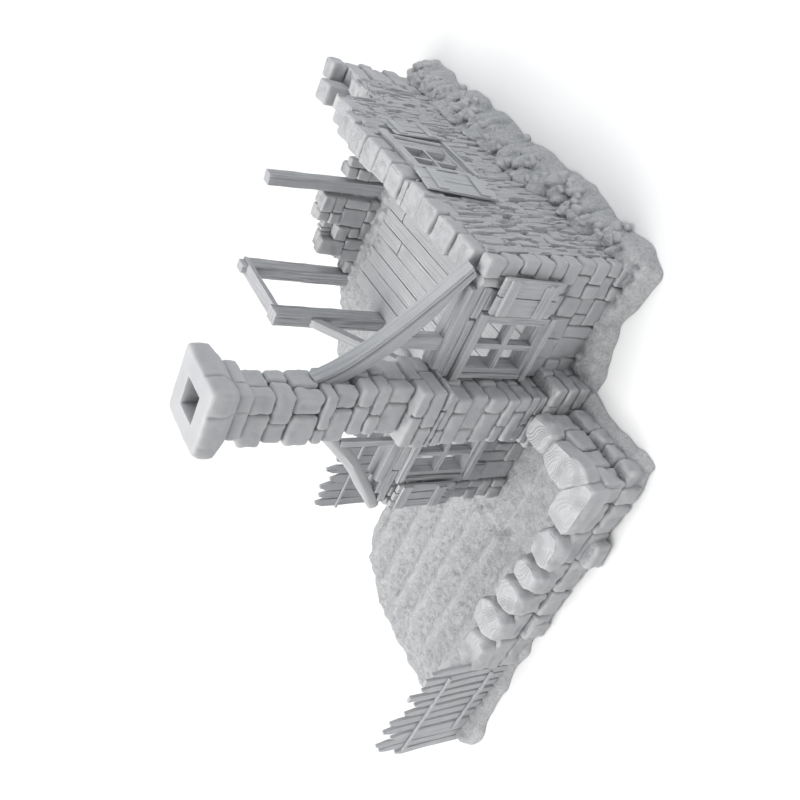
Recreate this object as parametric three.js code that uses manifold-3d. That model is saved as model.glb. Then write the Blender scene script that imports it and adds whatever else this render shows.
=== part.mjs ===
// Miniature terrain ruin for tabletop games: a roofless cottage with a stone chimney, and a walled garden plot.
// Millimetres, +Z up. The gable wall runs along X, the long wall along Y, and the garden lies towards -X.
// Every position is measured from the gable's front left corner on the table, then moved to the part's origin.
import * as THREE from "three";
import { mergeVertices } from "three/addons/utils/BufferGeometryUtils.js";
import Module from "manifold-3d";

const wasm = await Module();
wasm.setup();

// ---- driving dimensions ----
const CENTRE_X = 7; // middle of the base, where the part's own origin stands
const CENTRE_Y = 45.5;
const GROUND = 2.6; // top of the base slab
const FLOOR = 3.9; // top of the floorboards
const SILL = 21.2; // underside of the gable's window frames
const LINTEL = 47.9; // top of the gable's window frames
const CORNER_TOP = 47.7; // top of the left corner stones
const BOARDS_TOP = 52.6; // top of the boards over the windows
const PLATE_TOP = 54.6; // top of the gable's wall plate
const COPING_TOP = 56.6;
const GABLE_DEPTH = 7;
const WALL_INNER = 78; // inner face of the long wall
const WALL_OUTER_TOP = 85.6;
const WALL_OUTER_FOOT = 89;
const BATTER_FOOT = 9; // height where the long wall's outer face starts to lean in
const CORNER_DEPTH = 8; // how far the left corner stones reach along Y
const RIGHT_CORNER_DEPTH = 3.2; // the right ones, in front of the long wall
const LONG_WALL_BREAK = 95; // where the long wall steps down
const LONG_WALL_END = 112;
const REAR_INNER = 118; // inner face of the rear wall
const REAR_OUTER = 125;
const GAP = 0.3; // clearance between pieces that would otherwise touch on a slope
const BREAST = { left: 32.2, right: 48.8, front: -8.9, back: 7.2 };
const PLINTH_FRONT = -10.4;
const SHOULDER_LOW = 51;
const SHOULDER_TOP = 62;
const STACK_STEP = 78; // where the stack narrows
const COLLAR_LOW = 107.4;
const CAP_LOW = 110.9;
const CAP_EDGE = 113.8; // underside of the cap's upright rim
const CHIMNEY_TOP = 119;
const FLUE = { x: 41.8, y: -0.8, half: 3.9, foot: 85.4 };
const QUOIN_LEFT = 8.2; // inner edges of the gable's corner stones
const QUOIN_RIGHT = 77.4;
const FENCE_FRONT = -39.6;
const FENCE_DEPTH = 8.4;
const FENCE_WALL_TOP = 15;
const FENCE_TOP = 20;
const DOOR = { left: 2.8, right: 8.3, front: 86.9, frontInner: 93.2, rearInner: 118, rear: 124.4 };
const QUOIN_STEP = 81.2; // inner edge of the slim upper part of the right corner stones
const SIDE_WINDOW = { front: 46.6, back: 67.2, low: 26.6, high: 50.6 };
const SIDE_FRAME_FACE = 87.2; // outer face of the long wall's window frame
const PANE_BAR = 1.7; // width of a glazing bar
const STILE = 3.2; // width of a window frame's sides and sill
const HEAD_RAIL = 3.6;
const SIDE_STILES = [1.7, 6]; // the long wall's window has a slim front stile and a wide rear one
const SIDE_BAR = 1.2;

const FINISHES = {
  stone: { color: "#a3a4a8", roughness: 0.62, metalness: 0 },
  wood: { color: "#a8a9ad", roughness: 0.6, metalness: 0 },
  soil: { color: "#9c9da1", roughness: 0.7, metalness: 0 },
};

const ruin = new THREE.Group();
const model = new THREE.Group();
model.position.set(-CENTRE_X, -CENTRE_Y, 0);
ruin.add(model);

// ---- helpers ----

// Adds a named sub-part of the given finish to the model.
function add(name, finish, geometry) {
  const mesh = new THREE.Mesh(geometry, new THREE.MeshStandardMaterial(FINISHES[finish]));
  mesh.name = name;
  model.add(mesh);
}

function outline(points) {
  return new THREE.Shape(points.map(([x, y]) => new THREE.Vector2(x, y)));
}

function rectangle(x0, x1, y0, y1) {
  return [
    [x0, y0],
    [x1, y0],
    [x1, y1],
    [x0, y1],
  ];
}

// A plan outline extruded upwards, with its edges broken by a chamfer when bevel is given.
function slab(points, low, high, bevel = 0) {
  const geometry = new THREE.ExtrudeGeometry(outline(points), {
    depth: high - low - 2 * bevel,
    bevelEnabled: bevel > 0,
    bevelThickness: bevel,
    bevelSize: bevel,
    bevelOffset: -bevel,
    bevelSegments: 1,
  });
  return geometry.translate(0, 0, low + bevel);
}

function block(x0, x1, y0, y1, z0, z1, bevel = 0) {
  return slab(rectangle(x0, x1, y0, y1), z0, z1, bevel);
}

// An outline in X and Z extruded along Y from front to back.
function facade(points, front, back) {
  return slab(points, 0, back - front).rotateX(Math.PI / 2).translate(0, back, 0);
}

// An outline in Y and Z extruded along X from left to right.
function sideways(points, left, right) {
  const geometry = slab(points, 0, right - left);
  return geometry.rotateX(Math.PI / 2).rotateZ(Math.PI / 2).translate(left, 0, 0);
}

// A straight timber between two points in a plane of constant Y: thickness lies in that plane, depth across it.
function timber(from, to, thickness, depth) {
  const start = new THREE.Vector3(...from);
  const along = new THREE.Vector3(...to).sub(start);
  const length = along.length();
  const geometry = new THREE.BoxGeometry(thickness, depth, length).translate(0, 0, length / 2);
  const turn = new THREE.Quaternion().setFromUnitVectors(new THREE.Vector3(0, 0, 1), along.normalize());
  return geometry.applyQuaternion(turn).translate(start.x, start.y, start.z);
}

function solid(geometry) {
  const bare = geometry.clone();
  for (const name of Object.keys(bare.attributes)) {
    if (name !== "position") bare.deleteAttribute(name);
  }
  const merged = mergeVertices(bare, 1e-4);
  return new wasm.Manifold(
    new wasm.Mesh({
      numProp: 3,
      vertProperties: merged.attributes.position.array,
      triVerts: new Uint32Array(merged.index.array),
    }),
  );
}

function geometryOf(made) {
  const mesh = made.getMesh();
  return new THREE.BufferGeometry()
    .setAttribute("position", new THREE.BufferAttribute(mesh.vertProperties, 3))
    .setIndex(new THREE.BufferAttribute(mesh.triVerts, 1));
}

function join(geometries) {
  return geometryOf(geometries.map(solid).reduce((all, next) => all.add(next)));
}

function cut(geometry, tools) {
  return geometryOf(tools.map(solid).reduce((left, tool) => left.subtract(tool), solid(geometry)));
}

// ---- ground: two base slabs with ragged rims, the dug soil and the rubble at the walls' feet ----

const HOUSE_OUTLINE = [
  [52, -10],
  [58.2, -10.3],
  [65, -6.8],
  [72, -4.6],
  [79, -6.4],
  [84, -8.2],
  [91.5, -8],
  [95.4, -2],
  [95.8, 13],
  [98, 28],
  [96.6, 52],
  [98, 78],
  [96.2, 102],
  [97, 124],
  [94, 132],
  [88, 136.5],
  [70, 134],
  [45, 135.4],
  [20, 132.6],
  [5, 131],
  [-3, 124.2],
  [-9, 118],
  [-19.6, 114.5],
  [-26, 109.5],
  [-29.5, 96],
  [-27, 78],
  [-30, 60],
  [-30, 44],
  [-6, 44],
  [-6, -10],
];

const GARDEN_OUTLINE = [
  [-6, -10],
  [-6, 44],
  [-30, 44],
  [-49, 43.6],
  [-61, 44],
  [-66.5, 41.5],
  [-70, 36.5],
  [-77, 30],
  [-80.4, 24.5],
  [-82.6, 14],
  [-82, 1],
  [-83.2, -6],
  [-84, -14],
  [-81.5, -26],
  [-77, -35],
  [-76.5, -42.5],
  [-71, -45.5],
  [-63, -43.4],
  [-46, -42],
  [-26, -40.8],
  [0, -39.7],
  [42, -40.2],
  [50, -39.7],
  [49.8, -22],
  [51.6, -14],
  [52, -10],
];

function ground() {
  add("house_base", "soil", slab(HOUSE_OUTLINE, 0, GROUND));
  add("garden_base", "soil", slab(GARDEN_OUTLINE, 0, GROUND));
  const bed = [[-28, GROUND]];
  for (let row = 0; row < 6; row += 1) {
    const y = -23 + row * 11;
    bed.push([y, GROUND + 1], [y + 5, GROUND + 0.4]);
  }
  bed.push([40, GROUND]);
  add("soil_furrows", "soil", sideways([...bed].reverse(), -70, -6.6));
  const bank = [
    [WALL_OUTER_FOOT, GROUND],
    [95.2, GROUND],
    [93.4, 5.8],
    [91, 9.4],
    [WALL_OUTER_FOOT, 10.6],
  ];
  add("rubble_bank", "stone", facade(bank, RIGHT_CORNER_DEPTH + GAP, LONG_WALL_END));
}

// ---- floor ----

function floor() {
  const strips = 4;
  const left = DOOR.right + GAP;
  const pitch = (QUOIN_RIGHT - left) / strips;
  for (let i = 0; i < strips; i += 1) {
    const x = left + i * pitch;
    const end = REAR_INNER - 2 - 3 * (i % 2);
    const strip = block(x, x + pitch - 0.4, GABLE_DEPTH + GAP, end, GROUND, FLOOR);
    add("floorboards_" + (i + 1), "wood", strip);
  }
}

// ---- gable wall, with a window on each side of the chimney ----

const WINDOW_RIGHT = { left: 49.4, right: 70.2 };
const WINDOW_LEFT = { left: 10.8, right: 30.8 };

// A casement with four see-through panes, standing in X and Z between the given sides.
function casement([start, end], [low, high], [front, back], [left, right] = [STILE, STILE], bar = PANE_BAR) {
  const width = (end - start - left - right - bar) / 2;
  const bottom = low + STILE;
  const height = (high - HEAD_RAIL - bottom - bar) / 2;
  const panes = [];
  for (const x of [start + left, start + left + width + bar]) {
    for (const z of [bottom, bottom + height + bar]) {
      panes.push(block(x, x + width, front - 1, back + 1, z, z + height));
    }
  }
  return cut(block(start, end, front, back, low, high), panes);
}

function gable() {
  const chimneyRight = BREAST.right + 0.4;
  const chimneyLeft = BREAST.left - 0.4;
  const wallRight = [
    [chimneyRight, GROUND],
    [QUOIN_RIGHT, GROUND],
    [QUOIN_RIGHT, LINTEL],
    [WINDOW_RIGHT.right, LINTEL],
    [WINDOW_RIGHT.right, SILL],
    [chimneyRight, SILL],
  ];
  const wallLeft = [
    [QUOIN_LEFT, GROUND],
    [chimneyLeft, GROUND],
    [chimneyLeft, SILL],
    [WINDOW_LEFT.left, SILL],
    [WINDOW_LEFT.left, LINTEL],
    [QUOIN_LEFT, LINTEL],
  ];
  const plinthNotch = block(29, 53, PLINTH_FRONT, BREAST.back + 1, 0, FENCE_WALL_TOP + GAP);
  add("gable_wall_right", "stone", cut(facade(wallRight, 0, GABLE_DEPTH), [plinthNotch]));
  add("gable_wall_left", "stone", cut(facade(wallLeft, 0, GABLE_DEPTH), [plinthNotch]));
  for (const [name, { left, right }] of [
    ["window_frame_right", WINDOW_RIGHT],
    ["window_frame_left", WINDOW_LEFT],
  ]) {
    add(name, "wood", casement([left, right], [SILL, LINTEL], [-1.2, 5.4]));
  }
  const shoulderNotch = block(31.6 - GAP, 50.7 + GAP, -10, 10, SHOULDER_LOW - GAP, SHOULDER_TOP);
  const boardsRight = block(chimneyRight, 77.4, 0, 5.6, LINTEL, BOARDS_TOP);
  add("gable_boards_right", "wood", cut(boardsRight, [shoulderNotch]));
  const slantedBoards = [
    [2.2, LINTEL],
    [chimneyLeft, LINTEL],
    [chimneyLeft, BOARDS_TOP],
    [7.6, BOARDS_TOP],
  ];
  const boardsLeft = facade(slantedBoards, 0, 5.6);
  add("gable_boards_left", "wood", cut(boardsLeft, [shoulderNotch]));
  add("gable_plate_right", "wood", block(51.1, 77.2, -0.8, 5.6, BOARDS_TOP, PLATE_TOP));
  add("gable_plate_left", "wood", block(10.4, 31.2, -0.8, 5.6, BOARDS_TOP, PLATE_TOP));
  const post = new THREE.CylinderGeometry(1.4, 1.4, BOARDS_TOP - LINTEL, 12).rotateX(Math.PI / 2);
  add("corner_post", "wood", post.translate(79.2, 0.4, (BOARDS_TOP + LINTEL) / 2));
  quoins();
}

// Corner columns of squared stones, whose courses step in and out and lean in with the long wall.
function quoins() {
  const courses = 7;
  const height = (LINTEL - GROUND) / courses;
  const right = [];
  const left = [];
  for (let i = 0; i < courses; i += 1) {
    const low = GROUND + i * height;
    const step = i % 2 ? 0.5 : 0;
    const lean = ((WALL_OUTER_FOOT - WALL_OUTER_TOP) * i) / courses;
    const inner = i < 3 ? QUOIN_RIGHT : QUOIN_STEP;
    right.push(block(inner, 89.3 - lean - step, -1.2 + step, RIGHT_CORNER_DEPTH, low, low + height));
    right.push(block(QUOIN_RIGHT, inner + 1, 0, RIGHT_CORNER_DEPTH, low, low + height));
    if (i < courses - 1) left.push(block(step, QUOIN_LEFT, -0.9 + step, CORNER_DEPTH, low, low + height));
  }
  right.push(block(QUOIN_STEP, 86, -1.2, RIGHT_CORNER_DEPTH, LINTEL, 53.8));
  left.push(block(0, QUOIN_LEFT, -0.4, CORNER_DEPTH, LINTEL - height, CORNER_TOP));
  add("quoin_right", "stone", join(right));
  add("quoin_left", "stone", join(left));
}

// ---- chimney: plinth, breast, shoulder, two lengths of stack and the cap with its flue ----

function hull(geometries) {
  return geometryOf(wasm.Manifold.hull(geometries.map(solid)));
}

function chimney() {
  const fluePath = rectangle(
    FLUE.x - FLUE.half,
    FLUE.x + FLUE.half,
    FLUE.y - FLUE.half,
    FLUE.y + FLUE.half,
  );
  const flue = slab(fluePath, FLUE.foot, CHIMNEY_TOP + 1);
  const plinth = block(30.3, 52.8, PLINTH_FRONT, BREAST.back, GROUND, FENCE_WALL_TOP);
  add("chimney_plinth", "stone", plinth);
  const breast = block(BREAST.left, BREAST.right, BREAST.front, BREAST.back, FENCE_WALL_TOP, SHOULDER_LOW);
  add("chimney_breast", "stone", breast);
  add("chimney_shoulder", "stone", block(31.6, 50.7, -9.2, 7.4, SHOULDER_LOW, SHOULDER_TOP, 0.8));
  add("chimney_stack_lower", "stone", block(34.6, 50.3, -7, 6, SHOULDER_TOP, STACK_STEP, 0.6));
  const upper = block(32.2, 48, -7.2, 5, STACK_STEP, COLLAR_LOW);
  add("chimney_stack_upper", "stone", cut(upper, [flue]));
  const rim = block(32.1, 51.3, -10.5, 8.7, CAP_EDGE, CHIMNEY_TOP, 0.6);
  const foot = block(34.8, 49, -8, 6.2, CAP_LOW, CAP_EDGE);
  const collar = block(34.5, 48.4, -8, 5.9, COLLAR_LOW, CAP_LOW);
  add("chimney_cap", "stone", cut(join([hull([rim, foot]), collar]), [flue]));
}

// ---- roof timbers left standing on the gable ----

function roofTimbers() {
  const y = 2.2;
  const lower = [];
  const upper = [];
  const steps = 8;
  for (let i = 0; i <= steps; i += 1) {
    const share = i / steps;
    const sag = 2.5 * Math.sin(Math.PI * share ** 0.7);
    const half = 2.4 - 0.6 * share;
    const belly = half + 1.5 * Math.sin(Math.PI * share);
    const x = 45.3 + 36.2 * share - 0.69 * sag;
    const z = 88.9 - 33.8 * share - 0.72 * sag;
    lower.push([x - 0.69 * belly, z - 0.72 * belly]);
    upper.unshift([x + 0.69 * half, z + 0.72 * half]);
  }
  const rafter = facade([...lower, ...upper], y - 1.8, y + 1.8);
  const skew = 0.055; // the beam's top stands forward of its foot
  rafter.applyMatrix4(new THREE.Matrix4().makeShear(skew, 0, 0, 0, 0, 0)).translate(0, -81.5 * skew, 0);
  const wallHead = block(40, 90, -5, 10, 40, PLATE_TOP + GAP);
  const stackSide = block(40, 50.3 + GAP, -10, 10, 60, STACK_STEP + GAP);
  const upperSide = block(40, 48 + GAP, -10, 10, 60, 95);
  const copingEnd = block(77, 90, RIGHT_CORNER_DEPTH, 10, 40, COPING_TOP + GAP);
  add("rafter_right", "wood", cut(rafter, [wallHead, stackSide, upperSide, copingEnd]));
  add("stud_right", "wood", block(57.3, 61, 0.5, 4, PLATE_TOP, 65));
  add("stud_left", "wood", block(24.3, 26.6, 0, 1.8, PLATE_TOP, 69));
  const spine = [
    [-0.6, 49.7],
    [6, 55],
    [13, 60.8],
    [18.6, 66.2],
    [24, 72.4],
    [29.6, 78.2],
    [34.6, 83],
  ].map(([x, z]) => new THREE.Vector3(x, y, z));
  const section = new THREE.Shape().absarc(0, 0, 2.2, 0, 2 * Math.PI);
  const log = new THREE.ExtrudeGeometry(section, {
    extrudePath: new THREE.CatmullRomCurve3(spine),
    steps: 14,
    curveSegments: 4,
    bevelEnabled: false,
  });
  const plateHead = block(10, 32, -6, 10, 40, PLATE_TOP + GAP);
  const cornerHead = block(-8, 10, -6, 10, 30, CORNER_TOP + GAP);
  const studHead = block(23.9, 27, -1, 3.4, 50, 69 + GAP);
  const stackFlank = block(34.6 - GAP, 60, -6, 10, 60, STACK_STEP);
  const upperFlank = block(32.2 - GAP, 60, -6, 10, STACK_STEP - GAP, 95);
  add("rafter_left", "wood", cut(log, [plateHead, cornerHead, studHead, stackFlank, upperFlank]));
}

// ---- shutters: two planks and two battens each, with a broken lower edge ----

function brokenShutter(start, end, low, high, dip) {
  return [
    [start, low + dip],
    [start + (end - start) * 0.35, low],
    [start + (end - start) * 0.55, low + dip],
    [end, low + 0.4 * dip],
    [end, high],
    [start, high],
  ];
}

function shutters() {
  add("shutter_gable_right", "wood", facade(brokenShutter(71.3, 82.6, 25, 47.6, 2.4), -3.6, -1.7));
  add("shutter_gable_left", "wood", facade(brokenShutter(1.6, 11, 24.8, 47.8, 2), -3.4, -1.5));
  const lean = -Math.atan((WALL_OUTER_FOOT - WALL_OUTER_TOP) / (COPING_TOP - BATTER_FOOT));
  const foot = WALL_OUTER_FOOT - BATTER_FOOT * Math.tan(lean);
  const rear = sideways(brokenShutter(67.7, 77.4, 26.5, 45.5, 2.6), 0, 0.9).rotateY(lean);
  add("shutter_side_rear", "wood", rear.translate(foot + GAP, 0, 0));
  const askew = THREE.MathUtils.degToRad(-10);
  const front = sideways(brokenShutter(-6.7, 6.7, -12.4, 11, 1.6), 0, 1.3).rotateX(askew);
  add("shutter_side_front", "wood", front.translate(0, 36.6, 41.6).rotateY(lean).translate(foot + 0.8, 0, 0));
}

// ---- long wall with its window, its coping stones and the broken rear length ----

function wallSection(top) {
  const share = (top - BATTER_FOOT) / (COPING_TOP - BATTER_FOOT);
  return [
    [WALL_INNER, GROUND],
    [WALL_OUTER_FOOT, GROUND],
    [WALL_OUTER_FOOT, BATTER_FOOT],
    [WALL_OUTER_FOOT - share * (WALL_OUTER_FOOT - WALL_OUTER_TOP), top],
    [WALL_INNER, top],
  ];
}

function longWall() {
  const { front, back, low, high } = SIDE_WINDOW;
  const start = RIGHT_CORNER_DEPTH + GAP;
  const opening = block(70, 100, front - 0.2, back + 0.2, low - 0.2, high + 0.2);
  add("long_wall", "stone", cut(facade(wallSection(51), start, LONG_WALL_BREAK), [opening]));
  add("long_wall_rear", "stone", facade(wallSection(41), LONG_WALL_BREAK, LONG_WALL_END));
  const frame = casement([front, back], [low, high], [0, 4.8], SIDE_STILES, SIDE_BAR).rotateZ(Math.PI / 2);
  add("window_frame_side", "wood", frame.translate(SIDE_FRAME_FACE, 0, 0));
  const stones = 6;
  const pitch = (LONG_WALL_BREAK - start) / stones;
  const rise = [0, 0.3, 0, -0.4, 1, -1.6];
  const courses = [];
  for (let i = 0; i < stones; i += 1) {
    const y = start + i * pitch;
    const low = 51;
    const shift = i % 2 ? 0.4 : 0;
    courses.push(block(WALL_INNER - 0.4, 86 + shift, y, y + pitch, low, COPING_TOP + rise[i]));
  }
  add("coping_front", "stone", join(courses.slice(0, 3)));
  add("coping_rear", "stone", join(courses.slice(3)));
}

// ---- rear wall: a low stepped ruin, the leaning post in it and the corner pier ----

function rear() {
  const left = [
    [DOOR.right + GAP, GROUND],
    [41.2, GROUND],
    [41.2, 26.6],
    [30.6, 26.6],
    [30.6, 23],
    [19.6, 23],
    [19.6, 14.4],
    [14.4, 14.4],
    [14.4, 9],
    [DOOR.right + GAP, 7.6],
  ];
  add("rear_wall_left", "stone", facade(left, REAR_INNER, REAR_OUTER));
  const right = [
    [49, GROUND],
    [78, GROUND],
    [78, 9],
    [66, 8],
    [57.4, 12.4],
    [56.4, 22],
    [52.6, 22.4],
    [52.6, 26],
    [49, 26],
  ];
  add("rear_wall_right", "stone", facade(right, REAR_INNER, REAR_OUTER));
  const post = timber([46, 121.6, GROUND - 1], [42.9, 121.6, 51.6], 4.6, 4.6);
  const belowGround = block(30, 60, 110, 130, -5, GROUND);
  add("rear_post", "wood", cut(post, [belowGround]));
  add("corner_pier", "stone", block(78.2, 88.6, LONG_WALL_END + GAP, 125.6, GROUND, 36));
  add("pier_block_front", "stone", block(75.2, 82.4, 112.6, 120, 36, 45.4, 0.8));
  add("pier_block_rear", "stone", block(81.2, 88, 120.2, 126.2, 36, 42, 0.8));
}

// ---- door frame in the missing left wall, with the brace that held it ----

function door() {
  const lintelLow = 46.8;
  const lintelHigh = 48.7;
  add("door_post_front", "wood", block(DOOR.left, DOOR.right, DOOR.front, DOOR.frontInner, GROUND, lintelLow));
  const tenon = block(4.3, DOOR.right - 0.4, 119.2, 123.8, 40, 51);
  const rearPost = join([block(DOOR.left, DOOR.right, DOOR.rearInner, DOOR.rear, GROUND, lintelLow), tenon]);
  add("door_post_rear", "wood", rearPost);
  const lintel = block(DOOR.left - 0.3, DOOR.right + 0.3, DOOR.front - 1, DOOR.rear + 0.6, lintelLow, lintelHigh);
  add("door_lintel", "wood", cut(lintel, [block(4, DOOR.right - 0.1, 118.9, 124.1, 40, 55)]));
  const middle = (DOOR.left + DOOR.right) / 2;
  const brace = timber([middle, 60, 3.6], [middle, 88.5, 35.6], 3.4, 3.2);
  const trims = [
    block(-5, 15, 40, 95, -5, GROUND),
    block(-5, 15, DOOR.front - GAP, 100, 0, 60),
  ];
  add("door_brace", "wood", cut(brace, trims));
}

// ---- drystone garden wall: two walls and the capstones lying on them ----

const CAPSTONES = [
  rectangle(-36, -22.8, -39.5, -30.6),
  rectangle(-22.4, -10.4, -39.8, -27.6),
  rectangle(-9.4, 0.9, -40.7, -30.2),
  rectangle(2, 10.2, -41, -30.8),
  rectangle(11.5, 23.8, -41, -31.6),
  [
    [25.2, -39],
    [42.4, -39.8],
    [42.4, -36.8],
    [34.3, -31.2],
    [25.2, -31.2],
  ],
  [
    [43, -36.8],
    [44.8, -33],
    [43.4, -20.6],
    [37.2, -20],
    [34.9, -25],
    [34.7, -30.9],
  ],
  rectangle(36.2, 45.2, -19.6, -9.3),
];

function gardenWall() {
  const inner = FENCE_FRONT + FENCE_DEPTH;
  const frontWall = block(-36, 42.8, FENCE_FRONT, inner, GROUND, FENCE_WALL_TOP);
  add("garden_wall_front", "stone", frontWall);
  const sideWall = [
    [35.4, GROUND],
    [47.6, GROUND],
    [44.2, 7],
    [43.4, FENCE_WALL_TOP],
    [36, FENCE_WALL_TOP],
  ];
  add("garden_wall_side", "stone", facade(sideWall, inner, PLINTH_FRONT - GAP));
  CAPSTONES.forEach((points, i) => {
    add("capstone_" + (i + 1), "stone", slab(points, FENCE_WALL_TOP, FENCE_TOP, 0.9));
  });
}

// ---- picket fences: pointed boards nailed to two thin rails ----

// A picket from its foot's middle to its tip's middle, with a pointed head.
function picket(foot, tip, low, high, width, front, back) {
  const half = width / 2;
  const neck = high - 2.4;
  const points = [
    [foot - half, low],
    [foot + half, low],
    [tip + half, neck],
    [tip, high],
    [tip - half, neck],
  ];
  return facade(points, front, back);
}

function picketFence(name, feet, tips, heights, face, railEnds) {
  const depth = 1.3;
  const railDepth = 0.9;
  const width = 3.5;
  const boards = feet.map((foot, i) =>
    picket(foot, tips[i], GROUND, heights[i], width, face, face + depth),
  );
  const rails = [8, 26].map((z) =>
    block(railEnds[0], railEnds[1], face - railDepth, face + 0.4, z, z + 1.3),
  );
  add(name, "wood", join([...boards, ...rails]));
}

function pickets() {
  const frontHeights = [38.6, 34.8, 39.6, 39, 35.6, 37.8, 34.4, 35.2, 34, 34.4];
  const frontFeet = frontHeights.map((_, i) => -73.8 + 3.9 * i);
  const frontTips = frontFeet.map((foot, i) => foot + 1.6 - (i === 9 ? 0.6 : 0));
  picketFence("picket_fence_front", frontFeet, frontTips, frontHeights, -39.2, [-75.6, -37.2]);
  const rearHeights = [36, 31.4, 35.2, 33, 34.6, 30.8, 35.8, 33.4, 31.6, 34.8];
  const rearFeet = rearHeights.map((_, i) => -42.4 + 4.1 * i);
  picketFence("picket_fence_rear", rearFeet, rearFeet, rearHeights, 41.6, [-44.4, -3]);
}

ground();
floor();
gable();
chimney();
roofTimbers();
shutters();
longWall();
rear();
door();
gardenWall();
pickets();

export default ruin;
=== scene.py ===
"""Looks of the miniature terrain ruin: every stone, board, post and picket as its own carved shape in grey resin.

Lengths are in millimetres, measured from the gable's front left corner on the table, until mesh_piece() writes them
in metres in the frame that the CAD model uses. Each builder reads its places from the CAD nodes it stands for.
"""

import math

import bpy
import numpy as np
from mathutils import Matrix, Vector
from mathutils.geometry import delaunay_2d_cdt


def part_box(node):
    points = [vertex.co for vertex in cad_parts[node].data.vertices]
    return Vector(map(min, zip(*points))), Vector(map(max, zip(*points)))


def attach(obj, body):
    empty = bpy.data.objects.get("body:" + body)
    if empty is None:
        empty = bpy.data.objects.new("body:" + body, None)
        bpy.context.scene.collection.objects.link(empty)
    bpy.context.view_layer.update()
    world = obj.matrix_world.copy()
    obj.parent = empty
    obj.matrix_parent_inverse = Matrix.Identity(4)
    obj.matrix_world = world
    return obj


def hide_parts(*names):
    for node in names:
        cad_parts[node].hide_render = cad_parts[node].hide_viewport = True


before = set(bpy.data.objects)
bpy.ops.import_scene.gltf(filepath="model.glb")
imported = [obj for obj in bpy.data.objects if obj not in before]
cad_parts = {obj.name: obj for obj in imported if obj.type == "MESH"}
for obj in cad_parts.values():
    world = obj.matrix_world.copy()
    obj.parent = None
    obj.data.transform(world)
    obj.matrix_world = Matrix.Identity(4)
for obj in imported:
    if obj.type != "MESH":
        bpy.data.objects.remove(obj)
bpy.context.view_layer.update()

MM = 0.001
CORNER = np.array([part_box("quoin_left")[0].x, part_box("gable_wall_left")[0].y, 0.0])
X, Y, Z = 0, 1, 2


def span(node):
    """Lowest and highest corner of a CAD node, in millimetres from the gable's corner."""
    low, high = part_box(node)
    return (np.array(low) - CORNER) / MM, (np.array(high) - CORNER) / MM


GROUND = span("house_base")[1][Z]
WALL_INNER = span("long_wall")[0][X]
WALL_FOOT = span("long_wall")[1][X]
BATTER_FOOT = 9.0
COARSE = 1.0
BATTER = 3.4 / 47.6  # how far the long wall's outer face leans in for each millimetre of height


# ---- noise and mesh helpers ----


def noise(points, scale, seed):
    """Smooth noise from -1 to 1; scale is one length or a length for each axis."""
    q = points / scale
    cell = np.floor(q).astype(np.int64)
    f = q - cell
    f = f * f * (3 - 2 * f)
    total = np.zeros(len(points))
    for corner in range(8):
        step = [(corner >> k) & 1 for k in range(3)]
        n = (cell[:, 0] + step[0]) * 73856093
        n ^= (cell[:, 1] + step[1]) * 19349663
        n ^= (cell[:, 2] + step[2]) * 83492791
        n ^= seed * 2654435761
        n &= 0xFFFFFFFF
        n = ((n ^ (n >> 13)) * 1274126177) & 0xFFFFFFFF
        n ^= n >> 16
        weight = np.ones(len(points))
        for k in range(3):
            weight *= f[:, k] if step[k] else 1 - f[:, k]
        total += weight * ((n & 0xFFFF) / 32767.5 - 1)
    return total


def rugged(points, scale, seed):
    return noise(points, scale, seed) + 0.5 * noise(points, scale / 2.1, seed + 7)


class Shape:
    """Vertices with quads and triangles."""

    def __init__(self, verts, quads=(), tris=()):
        self.verts = np.asarray(verts, float).reshape(-1, 3)
        self.quads = np.asarray(quads, np.int64).reshape(-1, 4)
        self.tris = np.asarray(tris, np.int64).reshape(-1, 3)

    def moved(self, matrix):
        m = np.array(matrix)
        self.verts = self.verts @ m[:3, :3].T + m[:3, 3]
        return self


def joined(shapes):
    verts, quads, tris, start = [], [], [], 0
    for s in shapes:
        verts.append(s.verts)
        quads.append(s.quads + start)
        tris.append(s.tris + start)
        start += len(s.verts)
    return Shape(np.concatenate(verts), np.concatenate(quads), np.concatenate(tris))


def box_grid(lines):
    """The closed surface of a box, cut by the grid lines given for each axis."""
    n = [len(a) for a in lines]
    grid = np.stack(np.meshgrid(*lines, indexing="ij"), -1)
    outer = np.zeros(n, bool)
    for axis in range(3):
        ends = [slice(None)] * 3
        ends[axis] = [0, -1]
        outer[tuple(ends)] = True
    ids = np.full(n, -1)
    ids[outer] = np.arange(outer.sum())
    quads = []
    for axis in range(3):
        for high in (False, True):
            sheet = np.take(ids, n[axis] - 1 if high else 0, axis=axis)
            quad = np.stack([sheet[:-1, :-1], sheet[1:, :-1], sheet[1:, 1:], sheet[:-1, 1:]], -1).reshape(-1, 4)
            quads.append(quad if high != (axis == 1) else quad[:, ::-1])
    return grid[outer], np.concatenate(quads)


def grid_lines(half, radius, step):
    inner = half - radius
    middle = np.linspace(-inner, inner, max(1, round(2 * inner / step)) + 1)
    return np.concatenate([[-half, -inner - 0.414 * radius], middle, [inner + 0.414 * radius, half]])


def rounded_box(half, radius, steps, roundest=0.45):
    """A box round its own centre, with rounded edges; also each vertex's outward direction."""
    half = np.asarray(half, float)
    radius = min(radius, roundest * half.min())
    verts, quads = box_grid([grid_lines(h, radius, s) for h, s in zip(half, steps)])
    inner = np.clip(verts, radius - half, half - radius)
    away = verts - inner
    away /= np.linalg.norm(away, axis=1)[:, None]
    return inner + away * radius, quads, away


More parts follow.
